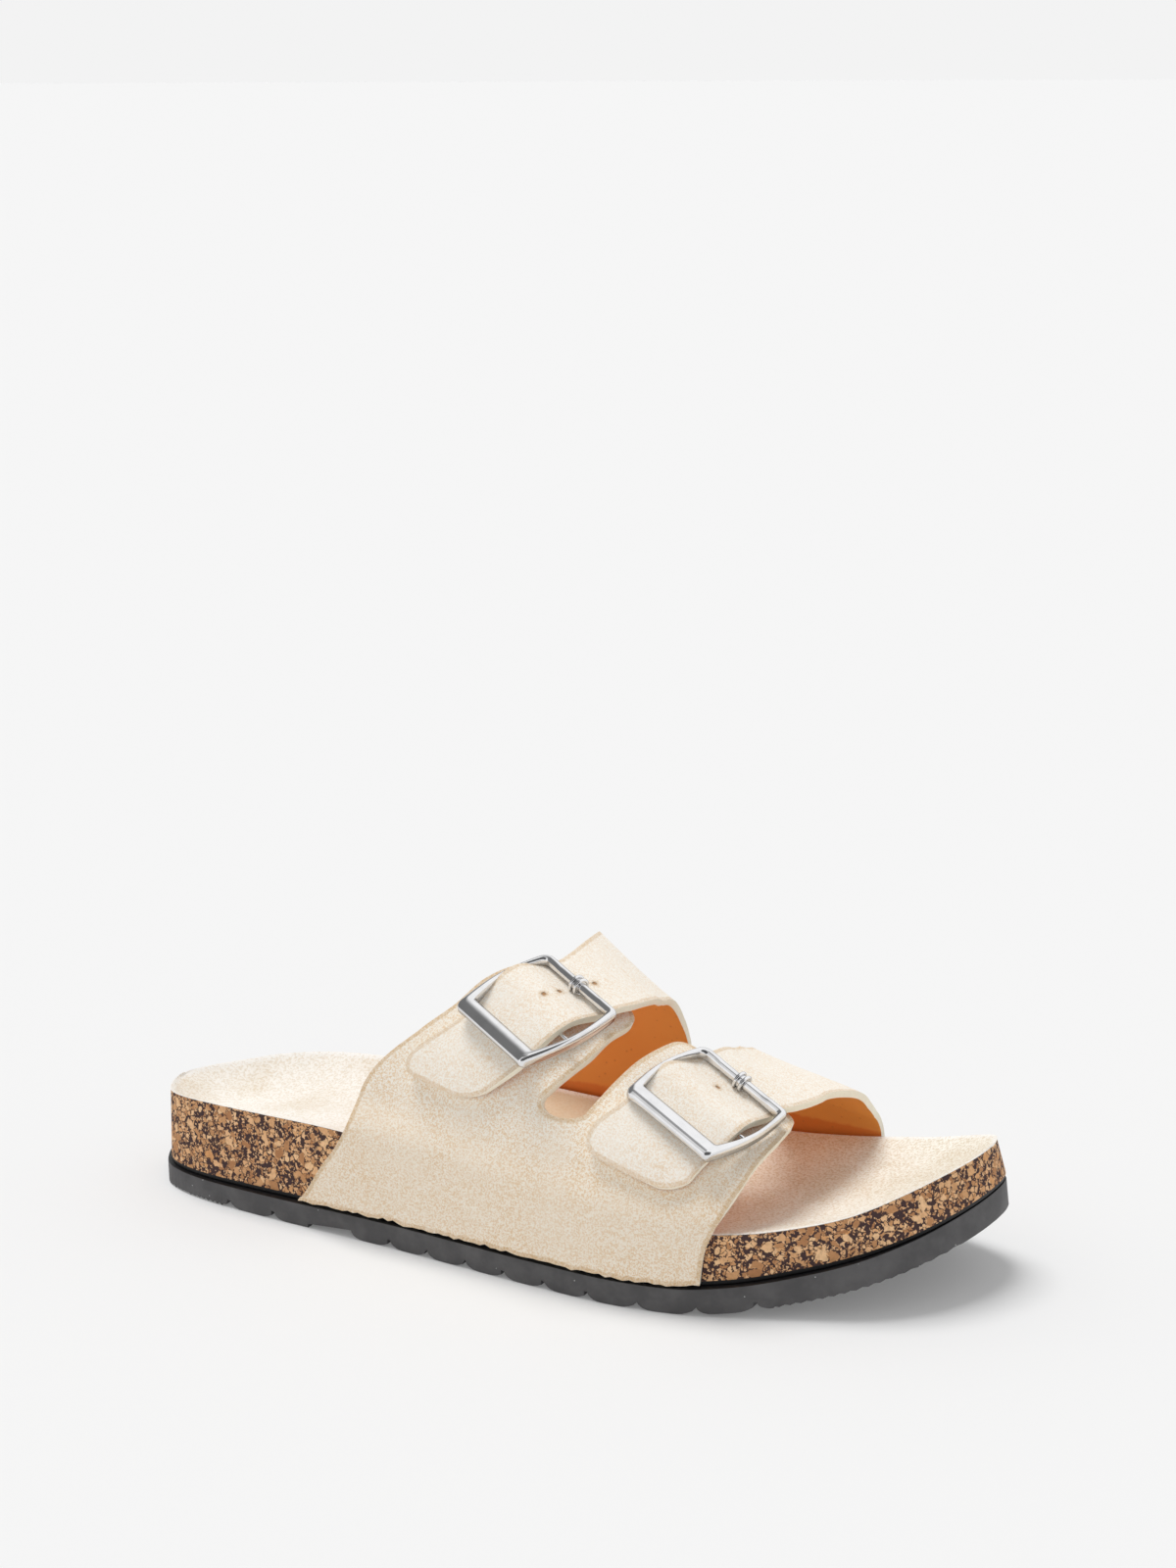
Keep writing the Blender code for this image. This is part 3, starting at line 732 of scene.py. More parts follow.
@dataclass(frozen=True)
class SuedeSock:
    """Cream napped suede of the footbed, brushed and slightly uneven, with painted shade where the arch lies
    under the straps' gap.
    """

    name: str = "cream_suede_sock"
    pale: Colour = (0.99, 0.955, 0.89)
    toe: Colour = (1.0, 0.965, 0.86)
    warm: Colour = (0.62, 0.46, 0.25)
    # painted shade: colour of the shaded patch round the arch
    wear_and_shade: Colour = (0.66, 0.55, 0.36)
    fuzz: Colour = (1.0, 0.985, 0.95)
    arch: Tuple[float, float, float] = (0.000, 0.028, 0.026)
    arch_shade_reach: Tuple[float, float] = (0.014, 0.036)
    toe_reach: Tuple[float, float] = (0.0, 0.06)
    fuzz_reach: Tuple[float, float] = (0.5, 2.4)
    relief: Tuple[float, float] = (0.3, 0.7)
    roughness: float = 0.95

    def material(self) -> bpy.types.Material:
        """Build the material.

        Returns:
            The finished material.
        """
        shader = Shader(self.name, self.roughness)
        shader.set(Sheen_Weight=0.4, Sheen_Roughness=0.45, Specular_IOR_Level=0.15)
        drift = shader.grain(22.0, 3.0, 0.55)
        nap = shader.grain(0.75, 3.0, 0.7)
        brushed = shader.grain(1.6, 2.0, 0.5, shader.stretched((0.0, 0.0, 0.3), (0.35, 1.0, 1.0)))
        toe = shader.along("X").ease(*self.toe_reach)
        tint = drift.ease(0.42, 0.72) * 0.25 + (1.0 - nap.ease(0.40, 0.56)) * (toe * 0.2 + 0.35)
        # painted shade: darker round the arch, where the sock lies in shade under the straps
        away = shader.vector("DISTANCE", shader.place(), self.arch, "Value")
        body = shader.blend(toe * 0.8, self.pale, self.toe)
        body = shader.blend((1.0 - away.ease(*self.arch_shade_reach)) * 0.8, body, self.wear_and_shade)
        fuzz = (1.0 - shader.edge().ease(*self.fuzz_reach)) * nap.ease(0.3, 0.5)
        colour = shader.blend(fuzz * 0.8, shader.blend(tint, body, self.warm), self.fuzz)
        shader.feed("Base Color", colour)
        shader.feed("Normal", shader.relief(nap * 0.6 + brushed * 0.4, *self.relief))
        return shader.material


class Flake(NamedTuple):
    """One size of cork flake: its size, the share of its cells left as binder and its dark rim's width."""

    size: float
    bare: float
    rim: float


@dataclass(frozen=True)
class Cork:
    """Pressed cork: tan flakes of many sizes in a dark purple-brown binder."""

    name: str = "pressed_cork"
    binder: Colour = (0.066, 0.036, 0.035)
    fleck: Colour = (0.32, 0.15, 0.07)
    tones: Tuple[Tuple[float, Colour], ...] = (
        (0.00, (0.46, 0.21, 0.09)),
        (0.30, (0.68, 0.36, 0.165)),
        (0.55, (0.88, 0.52, 0.27)),
        (0.80, (0.97, 0.63, 0.35)),
        (1.00, (0.74, 0.36, 0.14)),
    )
    flakes: Tuple[Flake, ...] = (Flake(0.75, 0.50, 0.12), Flake(1.5, 0.46, 0.11), Flake(2.6, 0.74, 0.09))
    warp_size: float = 1.3
    warp: float = 1.5
    relief: Tuple[float, float] = (0.15, 0.45)
    roughness: float = 0.8

    def material(self) -> bpy.types.Material:
        """Build the material.

        Returns:
            The finished material.
        """
        shader = Shader(self.name, self.roughness)
        shader.set(Specular_IOR_Level=0.3)
        waves = shader.grain(self.warp_size, 2.0, 0.6, output="Color")
        drift = shader.vector("SUBTRACT", waves, (0.5, 0.5, 0.5))
        shift = shader.vector("MULTIPLY", drift, [self.warp * MM] * 3)
        at = shader.vector("ADD", shader.place(), shift)
        colour: Link = self.binder
        height: Link = 0.0
        for flake in self.flakes:
            cells = shader.flakes(flake.size, "F1", "Color", at)
            pick = shader.node("ShaderNodeSeparateColor", {}, {0: cells}, 0)
            shade = shader.node("ShaderNodeSeparateColor", {}, {0: cells}, 1)
            border = shader.flakes(flake.size, "DISTANCE_TO_EDGE", "Distance", at)
            mask = border.ease(flake.rim * 0.5, flake.rim * 1.3) * (pick > flake.bare)
            spots = shader.grain(0.4 * flake.size, 2.0, 0.6).ease(0.30, 0.60)
            tone = shader.blend((1.0 - spots) * 0.28, shader.ramp(shade, *self.tones), self.fleck)
            colour = shader.blend(mask, colour, tone)
            height = mask * 0.4 + height
        shader.feed("Base Color", colour)
        shader.feed("Normal", shader.relief(height, *self.relief))
        return shader.material


@dataclass(frozen=True)
class Rubber:
    """Dark grey moulded rubber, dusted with tiny pale specks."""

    name: str = "grey_rubber"
    colour: Colour = (0.072, 0.070, 0.072)
    worn: Colour = (0.115, 0.112, 0.114)
    speck: Colour = (0.55, 0.55, 0.55)
    speck_size: float = 2.1
    speck_radius: float = 0.075
    speck_bare: float = 0.62
    relief: Tuple[float, float] = (0.06, 0.45)
    roughness: float = 0.62

    def material(self) -> bpy.types.Material:
        """Build the material.

        Returns:
            The finished material.
        """
        shader = Shader(self.name, self.roughness)
        drift = shader.grain(9.0, 3.0, 0.6)
        fine = shader.grain(0.4, 2.0, 0.6)
        body = shader.blend(drift.ease(0.35, 0.7) * 0.8, self.colour, self.worn)
        cells = shader.flakes(self.speck_size, "F1", "Color")
        pick = shader.node("ShaderNodeSeparateColor", {}, {0: cells}, 0)
        near = shader.flakes(self.speck_size, "F1", "Distance") < self.speck_radius
        dots = near * (pick > self.speck_bare)
        shader.feed("Base Color", shader.blend(dots, body, self.speck))
        shader.feed("Roughness", 0.52 + fine * 0.22)
        shader.feed("Normal", shader.relief(fine, *self.relief))
        return shader.material


@dataclass(frozen=True)
class GapShadeBlack:
    """Black paint standing in for the shade of the gap on top of the rubber and at the cork's foot."""

    name: str = "painted_gap_shade"
    colour: Colour = (0.006, 0.006, 0.007)
    grey: Colour = (0.022, 0.021, 0.022)
    relief: Tuple[float, float] = (0.08, 0.4)
    roughness: float = 0.55

    def material(self) -> bpy.types.Material:
        """Build the material.

        Returns:
            The finished material.
        """
        shader = Shader(self.name, self.roughness)
        patches = shader.grain(1.4, 3.0, 0.6).ease(0.5, 0.8)
        shader.feed("Base Color", shader.blend(patches, self.colour, self.grey))
        shader.feed("Normal", shader.relief(shader.grain(0.6, 2.0), *self.relief))
        return shader.material


@dataclass(frozen=True)
class PolishedMetal:
    """Bright plated casting with faint polishing marks, and painted dark reflections along the faces that
    turn away from view.
    """

    name: str = "polished_plating"
    colour: Colour = (0.80, 0.80, 0.81)
    dull: Colour = (0.66, 0.66, 0.67)
    # painted reflection: dark colour for the faces that turn away from view
    outline: Colour = (0.10, 0.10, 0.11)
    edge_reflection_reach: Tuple[float, float] = (0.45, 0.90)
    edge_reflection_weight: float = 0.85
    relief: Tuple[float, float] = (0.05, 0.2)
    roughness: float = 0.06

    def material(self) -> bpy.types.Material:
        """Build the material.

        Returns:
            The finished material.
        """
        shader = Shader(self.name, self.roughness, 1.0)
        marks = shader.grain(0.6, 3.0, 0.7, shader.stretched((0.0, 0.0, 0.5), (0.12, 1.0, 1.0)))
        cloud = shader.grain(5.0, 2.0)
        body = shader.blend(cloud.ease(0.4, 0.75) * 0.6, self.colour, self.dull)
        # painted reflection: darker where the surface turns away from view
        turned = shader.node("ShaderNodeLayerWeight", {}, {"Blend": 0.5}, "Facing")
        away = turned.ease(*self.edge_reflection_reach) * self.edge_reflection_weight
        shader.feed("Base Color", shader.blend(away, body, self.outline))
        shader.feed("Roughness", self.roughness + marks * 0.07)
        shader.feed("Normal", shader.relief(marks * 0.5 + shader.grain(2.5, 1.0) * 0.5, *self.relief))
        return shader.material


@dataclass(frozen=True)
class PaleFloor:
    """Plain pale studio floor."""

    name: str = "pale_floor"
    colour: Colour = (0.845, 0.845, 0.845)
    glow: float = 0.15
    full: float = 0.896
    roughness: float = 0.9

    def material(self) -> bpy.types.Material:
        """Build the material.

        Returns:
            The finished material.
        """
        shader = Shader(self.name, self.roughness)
        own = [(1.0 - self.glow) * part for part in self.colour]
        shader.set(Base_Color=(*own, 1.0), Specular_IOR_Level=0.0)
        shader.set(Emission_Color=(1.0, 1.0, 1.0, 1.0), Emission_Strength=self.glow * self.full)
        return shader.material


@dataclass
class ShoeShape:
    """Shape that the sole and the upper share: outline, footbed and last."""

    length: float = 252.0
    centre_x: float = 126.7
    centre_y: float = -2.6
    outsole_thickness: float = 7.0
    toe_thickening: float = 1.2
    heel_thinning: float = 0.7
    heel_thinning_reach: float = 110.0
    toe_spring: float = 18.4
    spring_start: float = 0.70
    toe_lean_start: float = 222.0
    cork_inset: float = 2.2
    heel_cup_ease: float = 24.0
    toe_lip_ease: float = 20.0
    bowl_power: float = 2.6
    seat_gap: float = 0.3
    upper_proud: float = 0.4
    rim_blend: float = 12.0
    normal_step: float = 0.5
    outline_step: float = 0.01
    sole_rows: Tuple[SoleRow, ...] = (
        SoleRow(0.000, -4.0, 4.0),
        SoleRow(0.012, 9.2, 12.6),
        SoleRow(0.040, 19.2, 19.6),
        SoleRow(0.100, 25.7, 27.3),
        SoleRow(0.170, 28.9, 30.9),
        SoleRow(0.260, 32.2, 29.8),
        SoleRow(0.360, 35.9, 27.4),
        SoleRow(0.460, 40.5, 27.1),
        SoleRow(0.560, 45.0, 31.3),
        SoleRow(0.660, 48.0, 38.4),
        SoleRow(0.720, 47.1, 41.4),
        SoleRow(0.780, 43.3, 42.9),
        SoleRow(0.840, 37.1, 42.0),
        SoleRow(0.900, 30.5, 37.8),
        SoleRow(0.950, 20.3, 33.0),
        SoleRow(0.985, 5.5, 26.5),
        SoleRow(1.000, -13.0, 13.0),
    )
    rim_rows: Tuple[RimRow, ...] = (
        RimRow(0.00, 20.4, 20.4, 9.0),
        RimRow(0.04, 22.2, 21.2, 9.0),
        RimRow(0.12, 23.3, 24.0, 9.0),
        RimRow(0.25, 23.5, 25.8, 7.5),
        RimRow(0.45, 20.5, 24.5, 5.0),
        RimRow(0.60, 17.4, 19.5, 4.0),
        RimRow(0.72, 15.0, 16.2, 3.5),
        RimRow(0.88, 12.7, 13.7, 3.5),
        RimRow(0.95, 13.5, 12.9, 3.2),
        RimRow(1.00, 12.4, 12.4, 3.0),
    )
    last_rows: Tuple[LastRow, ...] = (
        LastRow(60.0, 23.8, 111.4, 1.80, 2.32),
        LastRow(95.0, 22.6, 94.7, 2.12, 2.26),
        LastRow(125.0, 20.7, 80.8, 2.48, 2.22),
        LastRow(150.0, 16.7, 67.4, 2.80, 2.22),
        LastRow(178.0, 12.4, 52.8, 2.91, 2.38),
        LastRow(205.0, 9.1, 41.7, 2.87, 2.70),
        LastRow(228.0, 5.6, 32.2, 2.82, 2.94),
    )

    def __post_init__(self) -> None:
        """Turn the tables into curves."""
        turns = [self.turn_at(row.share * self.length) for row in self.sole_rows]
        self.edges = {side: Curve(turns, [getattr(row, side.value) for row in self.sole_rows])
                      for side in Side}
        self.rims = {side: Curve.of(self.rim_rows, "share", side.value) for side in Side}
        self.dip = Curve.of(self.rim_rows, "share", "dip")
        self.powers = {side: Curve.of(self.last_rows, "x", side.value) for side in Side}
        self.crown_y = Curve.of(self.last_rows, "x", "crown_y")
        self.crown_z = Curve.of(self.last_rows, "x", "crown_z")

    def place(self, x: float, y: float, z: float) -> Vector:
        """Turn shoe millimetres into world metres."""
        return Vector(((x - self.centre_x) * MM, (y - self.centre_y) * MM, z * MM))

    def toe_share(self, x: float) -> float:
        """Share of the way from the ball to the toe tip."""
        return max(x / self.length - self.spring_start, 0.0) / (1.0 - self.spring_start)

    def spring(self, x: float) -> float:
        """Height of the outsole's underside over the floor."""
        return self.toe_spring * self.toe_share(x) ** 2

    def sole_top(self, x: float) -> float:
        """Height of the outsole's upper face."""
        thinning = self.heel_thinning * (1.0 - smooth_step(x / self.heel_thinning_reach))
        return self.spring(x) + self.outsole_thickness - thinning + self.toe_thickening * self.toe_share(x)

    def toe_lean(self, x: float) -> float:
        """How far along its lean a wall is, from upright along the sides to full at the toe."""
        return smooth_step((x - self.toe_lean_start) / (self.length - self.toe_lean_start))

    def turn_at(self, x: float) -> float:
        """Angle along the outline, 0 at the heel and pi at the toe."""
        return math.acos(min(max(1.0 - 2.0 * x / self.length, -1.0), 1.0))

    def edge_y(self, x: float, side: Side) -> float:
        """Place of the outsole's edge across the shoe."""
        width = self.edges[side](self.turn_at(x))
        return -width if side is Side.LATERAL else width

    def outline_point(self, turn: float) -> Vector:
        """Point of the plan outline, the lateral side up to pi and the medial side after it."""
        x = 0.5 * self.length * (1.0 - math.cos(turn))
        return Vector((x, self.edge_y(x, Side.LATERAL if turn <= math.pi else Side.MEDIAL)))

    def plan_point(self, turn: float, inset: Callable[[float], float]) -> Vector:
        """Point of the plan outline moved inwards.

        Args:
            turn: Angle along the outline.
            inset: Distance inwards at an x.

        Returns:
            The point in the plan.
        """
        full = 2.0 * math.pi
        ahead = self.outline_point((turn + self.outline_step) % full)
        behind = self.outline_point((turn - self.outline_step) % full)
        along = (ahead - behind).normalized()
        point = self.outline_point(turn % full)
        return point + Vector((-along.y, along.x)) * inset(point.x)

    def rim(self, x: float, side: Side) -> float:
        """Height of the footbed's rim on one side."""
        return self.sole_top(x) + self.rims[side](x / self.length)

    def footbed(self, x: float, across: float) -> float:
        """Height of the insole's upper face.

        Args:
            x: Place along the shoe.
            across: Place from -1 (lateral rim) to 1 (medial rim).

        Returns:
            The height over the floor.
        """
        heel = 1.0 - (1.0 - min(max(x - self.cork_inset, 0.0) / self.heel_cup_ease, 1.0)) ** 2
        toe = 1.0 - (1.0 - min(max(self.length - self.cork_inset - x, 0.0) / self.toe_lip_ease, 1.0)) ** 2
        bowl = (1.0 - abs(across) ** self.bowl_power) * heel * toe
        rim = mix(self.rim(x, Side.LATERAL), self.rim(x, Side.MEDIAL), 0.5 + 0.5 * across)
        return rim - self.dip(x / self.length) * bowl

    def bare_point(self, x: float, around: float) -> Vector:
        """Point of the upper's outer face, 0 degrees at the lateral foot and 180 at the medial foot.

        Args:
            x: Place along the shoe.
            around: Angle around the last.

        Returns:
            The point in shoe millimetres.
        """
        side = Side.LATERAL if around <= 90.0 else Side.MEDIAL
        power = 2.0 / self.powers[side](x)
        angle = math.radians(around if side is Side.LATERAL else 180.0 - around)
        out = max(math.cos(angle), 0.0) ** power
        rise = max(math.sin(angle), 0.0) ** power
        wall = self.edge_y(x, side) + (-self.upper_proud if side is Side.LATERAL else self.upper_proud)
        y = mix(self.crown_y(x), wall, out)
        z = mix(self.sole_top(x) + self.seat_gap, self.crown_z(x), rise)
        y = mix(wall, y, smooth_step((z - self.rim(x, side)) / self.rim_blend))
        return Vector((x, y, z))

    def upper_point(self, x: float, around: float, lift: float) -> Vector:
        """Point at a height over the upper's outer face.

        Args:
            x: Place along the shoe.
            around: Angle around the last.
            lift: Height over the outer face.

        Returns:
            The point in world metres.
        """
        around = min(max(around, 0.0), 180.0)
        point = self.bare_point(x, around)
        if lift:
            step = self.normal_step
            along = self.bare_point(x + step, around) - self.bare_point(x - step, around)
            higher = self.bare_point(x, min(around + step, 180.0))
            over = higher - self.bare_point(x, max(around - step, 0.0))
            point = point + along.cross(over).normalized() * lift
        return self.place(*point)


@dataclass
class Sole:
    """Rubber outsole, cork block and suede sock."""

    shape: ShoeShape
    heel_trim: float = 1.2
    heel_trim_reach: float = 60.0
    outsole_lean: float = 0.9
    cork_foot_lean: float = -1.2
    cork_top_lean: float = 0.9
    cork_draft: float = 0.8
    gap_band_height: float = 1.1
    sock_thickness: float = 1.8
    sock_rim: float = 0.35
    sock_round: float = 0.15
    sock_round_share: float = 0.05
    sock_gap: float = 0.1
    skive_power: float = 4.0
    top_round: float = 0.4
    foot_round: float = 0.25
    lug_depth: float = 2.3
    lug_gap: float = 1.0
    lug_nose: float = 4.2
    lug_tail: float = 4.0
    lug_tail_rise: float = 1.0
    lug_starts: Tuple[float, ...] = (36.0, 52.0, 79.0, 92.5, 105.2, 118.2, 131.0, 144.0, 157.5, 172.0, 188.0,
                                     203.0)
    arch_recess: Tuple[float, float] = (64.0, 79.0)
    recess_depth: float = 1.1
    teeth: Tuple[Teeth, ...] = (Teeth(10.0, 34.0, 1.8, 0.9), Teeth(207.0, 247.0, 2.6, 0.45))
    stations: int = 150
    columns: int = 36
    outsole_columns: int = 6
    nose_steps: int = 6
    tail_steps: int = 3
    station_step: float = 0.0003
    wall: float = 0.05
    round_share: float = 0.3
    gap_shade_share: float = 0.2
    gap_band_edge: float = 0.1
    gap_band_inset: float = 0.35
    gap_band_bevel: float = 0.1
    rag: float = 0.22
    rag_along: float = 0.9
    rag_across: float = 5.0
    side_rag: float = 0.2
    side_drop: float = 0.05
    side_out: float = 0.12
    hem_rag: float = 0.3
    hem_power: int = 20
    hem_out: float = 0.05
    crisp_angle: float = 35.0
    sock_angle: float = 60.0

    def heel_inset(self, x: float) -> float:
        """How far the outsole stays inside the shared outline at the heel."""
        return self.heel_trim * (1.0 - smooth_step(x / self.heel_trim_reach))

    def cork_edge(self, x: float) -> float:
        """Inset of the cork's upper edge and of the sock."""
        return self.shape.cork_inset + self.cork_draft + self.cork_top_lean * self.shape.toe_lean(x)

    def tread(self, x: float) -> float:
        """Depth of the tread at a place along the shoe.

        Args:
            x: Place along the shoe.

        Returns:
            The depth over the lugs' faces.
        """
        rear, front = self.arch_recess
        if rear <= x < front:
            return mix(self.recess_depth, self.lug_depth, (x - rear) / (front - rear))
        for first, last, pitch, depth in self.teeth:
            if first <= x <= last:
                return depth * abs(((x - first) / pitch) % 1.0 * 2.0 - 1.0)
        for start in self.lug_starts:
            nose = (x - start) / self.lug_nose
            if 0.0 <= nose < 1.0:
                return self.lug_depth * (1.0 - math.sqrt(1.0 - (1.0 - nose) ** 2))
            tail = (start - self.lug_gap - x) / self.lug_tail
            if x < start and tail <= 0.0:
                return self.lug_depth
            if 0.0 < tail < 1.0:
                return self.lug_tail_rise * (1.0 - tail) ** 2
        return 0.0

    def even_stations(self, count: int) -> List[float]:
        """Turns along the outline, closer together at heel and toe."""
        return [math.pi * i / count for i in range(count + 1)]

    def tread_stations(self) -> List[float]:
        """Turns along the outline that also stand at each corner of the tread.

        Returns:
            The rising turns.
        """
        half = 0.5 * self.shape.length
        places = [half * (1.0 - math.cos(turn)) for turn in self.even_stations(self.stations)]
        for start in self.lug_starts:
            places += [start + self.lug_nose * (k / self.nose_steps) ** 2 for k in range(self.nose_steps + 1)]
            tail = start - self.lug_gap
            places += [tail - self.lug_tail * k / self.tail_steps for k in range(self.tail_steps + 1)]
            places += [tail - self.wall]
        rear, front = self.arch_recess
        places += [rear - self.wall, rear, front - self.wall]
        for first, last, pitch, _ in self.teeth:
            places += [first + 0.5 * pitch * k for k in range(int(2.0 * (last - first) / pitch) + 1)]
        turns = sorted(self.shape.turn_at(x) for x in places if 0.0 <= x <= self.shape.length)
        kept = [0.0]
        for turn in turns[1:]:
            if turn - kept[-1] > self.station_step:
                kept.append(turn)
        kept[-1] = math.pi
        return kept

    def layer(self, name: str, turns: Sequence[float], columns: int,
              rings: Sequence[Ring]) -> bpy.types.Object:
        """Model a layer of the sole from its top face down.

        Args:
            name: Name of the piece.
            turns: Stations along the outline.
            columns: Faces across the layer.
            rings: Levels of its wall from the top edge to the bottom edge.

        Returns:
            The closed body.
        """

        def level(ring: Ring) -> Callable[[int, int], Vector]:
            """Make the rule for the places of a ring's points.

            Args:
                ring: Level of the wall.

            Returns:
                The rule, by column and row.
            """
            plan = self.shape.plan_point
            plans = [(plan(t, ring.inset), plan(2.0 * math.pi - t, ring.inset)) for t in turns]
            plans[0] = (plans[0][0], plans[0][0])
            plans[-1] = (plans[-1][0], plans[-1][0])

            def place(column: int, row: int) -> Vector:
                """Place of the point at a column and row.

                Args:
                    column: Station along the outline.
                    row: Step across the layer.

                Returns:
                    The place in metres.
                """
                lateral, medial = plans[column]
                across = -math.cos(math.pi * row / columns)
                point = lateral.lerp(medial, 0.5 + 0.5 * across)
                tip = column in (0, len(turns) - 1)
                return self.shape.place(point.x, point.y, ring.height(point.x, 1.0 if tip else across))

            return place

        obj = Bench.grid(name, len(turns) - 1, columns, level(rings[0]))
        for k, ring in enumerate(rings[1:]):
            Bench.extrude(obj, level(ring), whole=k == 0)
        Bench.weld(obj)
        return obj

    def paint_by_height(self, obj: bpy.types.Object, height: Callable[[float], float], above: bool) -> None:
        """Give faces over or under a height rule the piece's second material.

        Args:
            obj: Piece of the sole.
            height: Height at an x, in millimetres.
            above: Whether the faces over it are painted.
        """
        for face in obj.data.polygons:
            x = face.center.x / MM + self.shape.centre_x
            if (face.center.z / MM > height(x)) == above:
                face.material_index = 1

    def build_outsole(self, rubber: bpy.types.Material, gap_shade_black: bpy.types.Material) -> None:
        """Model the rubber unit with its lugs, teeth and rounded edges.

        Args:
            rubber: Material of the unit.
            gap_shade_black: Material of its upper face, black as painted shade of the gap over it.
        """
        shape = self.shape
        soft = self.top_round
        crisp = self.foot_round
        part = self.round_share

        def inset(extra: float, lean: float = 0.0) -> Callable[[float], float]:
            """Rule for the distance inside the outline."""
            return lambda x: self.heel_inset(x) + lean * shape.toe_lean(x) + extra

        def under(raise_by: float) -> HeightRule:
            """Rule for a height over the tread."""
            return lambda x, across: shape.spring(x) + self.tread(x) + raise_by

        def over(lower_by: float) -> HeightRule:
            """Rule for a height below the upper face."""
            return lambda x, across: shape.sole_top(x) - lower_by

        rings = (
            Ring(inset(soft, self.outsole_lean), over(0.0)),
            Ring(inset(part * soft, self.outsole_lean), over(part * soft)),
            Ring(inset(0.0, self.outsole_lean), over(soft)),
            Ring(inset(0.0), under(crisp)),
            Ring(inset(part * crisp), under(part * crisp)),
            Ring(inset(crisp), under(0.0)),
        )
        obj = self.layer("outsole_rubber", self.tread_stations(), self.outsole_columns, rings)
        obj.data.materials.append(rubber)
        obj.data.materials.append(gap_shade_black)
        # painted shade: the outsole's upper face is black, to show as a dark gap under the cork and the upper
        self.paint_by_height(obj, lambda x: shape.sole_top(x) - self.gap_shade_share * soft, above=True)
        Bench.hand_over(obj, "outsole", "outsole_rubber", self.crisp_angle)

    def sock_depth(self, across: float) -> float:
        """Thickness of the sock, skived thin towards its rim."""
        return mix(self.sock_thickness, self.sock_rim, abs(across) ** self.skive_power)

    def build_cork(self, cork: bpy.types.Material, gap_shade_black: bpy.types.Material) -> None:
        """Model the cork block with a black band of painted gap shade at its foot.

        Args:
            cork: Material of the block.
            gap_shade_black: Material of that painted shade band.
        """
        shape = self.shape

        def foot(extra: float) -> Callable[[float], float]:
            """Rule for the distance inside the outline at the foot."""
            return lambda x: shape.cork_inset + self.cork_foot_lean * shape.toe_lean(x) + extra

        def top(x: float, across: float) -> float:
            """Height of the cork under the sock."""
            return shape.footbed(x, across) - self.sock_depth(across) - self.sock_gap

        def line(raise_by: float) -> HeightRule:
            """Rule for a height over the outsole."""
            return lambda x, across: shape.sole_top(x) + shape.seat_gap + raise_by

        rings = (
            Ring(self.cork_edge, top),
            Ring(foot(self.gap_band_edge), line(self.gap_band_height)),
            Ring(foot(self.gap_band_inset), line(self.gap_band_height - self.gap_band_bevel)),
            Ring(foot(self.gap_band_inset), line(0.0)),
        )
        obj = self.layer("cork_block", self.even_stations(self.stations), self.columns, rings)
        obj.data.materials.append(cork)
        obj.data.materials.append(gap_shade_black)
        # painted shade: the cork's foot is black up to the band height, for the gap over the outsole
        self.paint_by_height(obj, lambda x: shape.sole_top(x) + shape.seat_gap + self.gap_band_height,
                             above=False)
        Bench.hand_over(obj, "cork_midsole", "cork", self.crisp_angle)

    def build_sock(self, suede: bpy.types.Material) -> None:
        """Model the suede sock with a soft, slightly uneven rim.

        Args:
            suede: Its material.
        """
        shape = self.shape

        def ragged(x: float, across: float) -> float:
            """Unevenness of the rim."""
            return self.rag * noise.noise(Vector((x * self.rag_along, across * self.rag_across, 0.0)))

        def top(x: float, across: float) -> float:
            """Height of the sock's face, rounded off at its rim."""
            rim = max(abs(across) - 1.0 + self.sock_round_share, 0.0) / self.sock_round_share
            return shape.footbed(x, across) - self.sock_round * rim * rim

        def side(x: float, across: float) -> float:
            """Height of the sock's edge."""
            edge = shape.footbed(x, across) - self.sock_round - self.side_drop
            return edge + self.side_rag * ragged(x, across)

        def bottom(x: float, across: float) -> float:
            """Height of the sock's underside."""
            hem = self.hem_rag * ragged(x, across) * abs(across) ** self.hem_power
            return shape.footbed(x, across) - self.sock_depth(across) + hem

        rings = (
            Ring(self.cork_edge, top),
            Ring(lambda x: self.cork_edge(x) - self.side_out, side),
            Ring(lambda x: self.cork_edge(x) - self.hem_out, bottom),
        )
        obj = self.layer("suede_sock", self.even_stations(self.stations), self.columns, rings)
        share = obj.data.attributes[Bench.SHARE].data
        rim = [k for k, item in enumerate(share) if round(item.vector.y) in (0, self.columns)]
        Bench.mark_edges(obj, rim)
        obj.data.materials.append(suede)
        Bench.hand_over(obj, "insole", "insole_suede", self.sock_angle)

    def build(self, cork: bpy.types.Material, rubber: bpy.types.Material, gap_shade_black: bpy.types.Material,
              suede: bpy.types.Material) -> None:
        """Build the three layers.

        Args:
            cork: Material of the cork block.
            rubber: Material of the outsole.
            gap_shade_black: Material of the painted gap shade.
            suede: Material of the sock.
        """
        self.build_outsole(rubber, gap_shade_black)
        self.build_cork(cork, gap_shade_black)
        self.build_sock(suede)


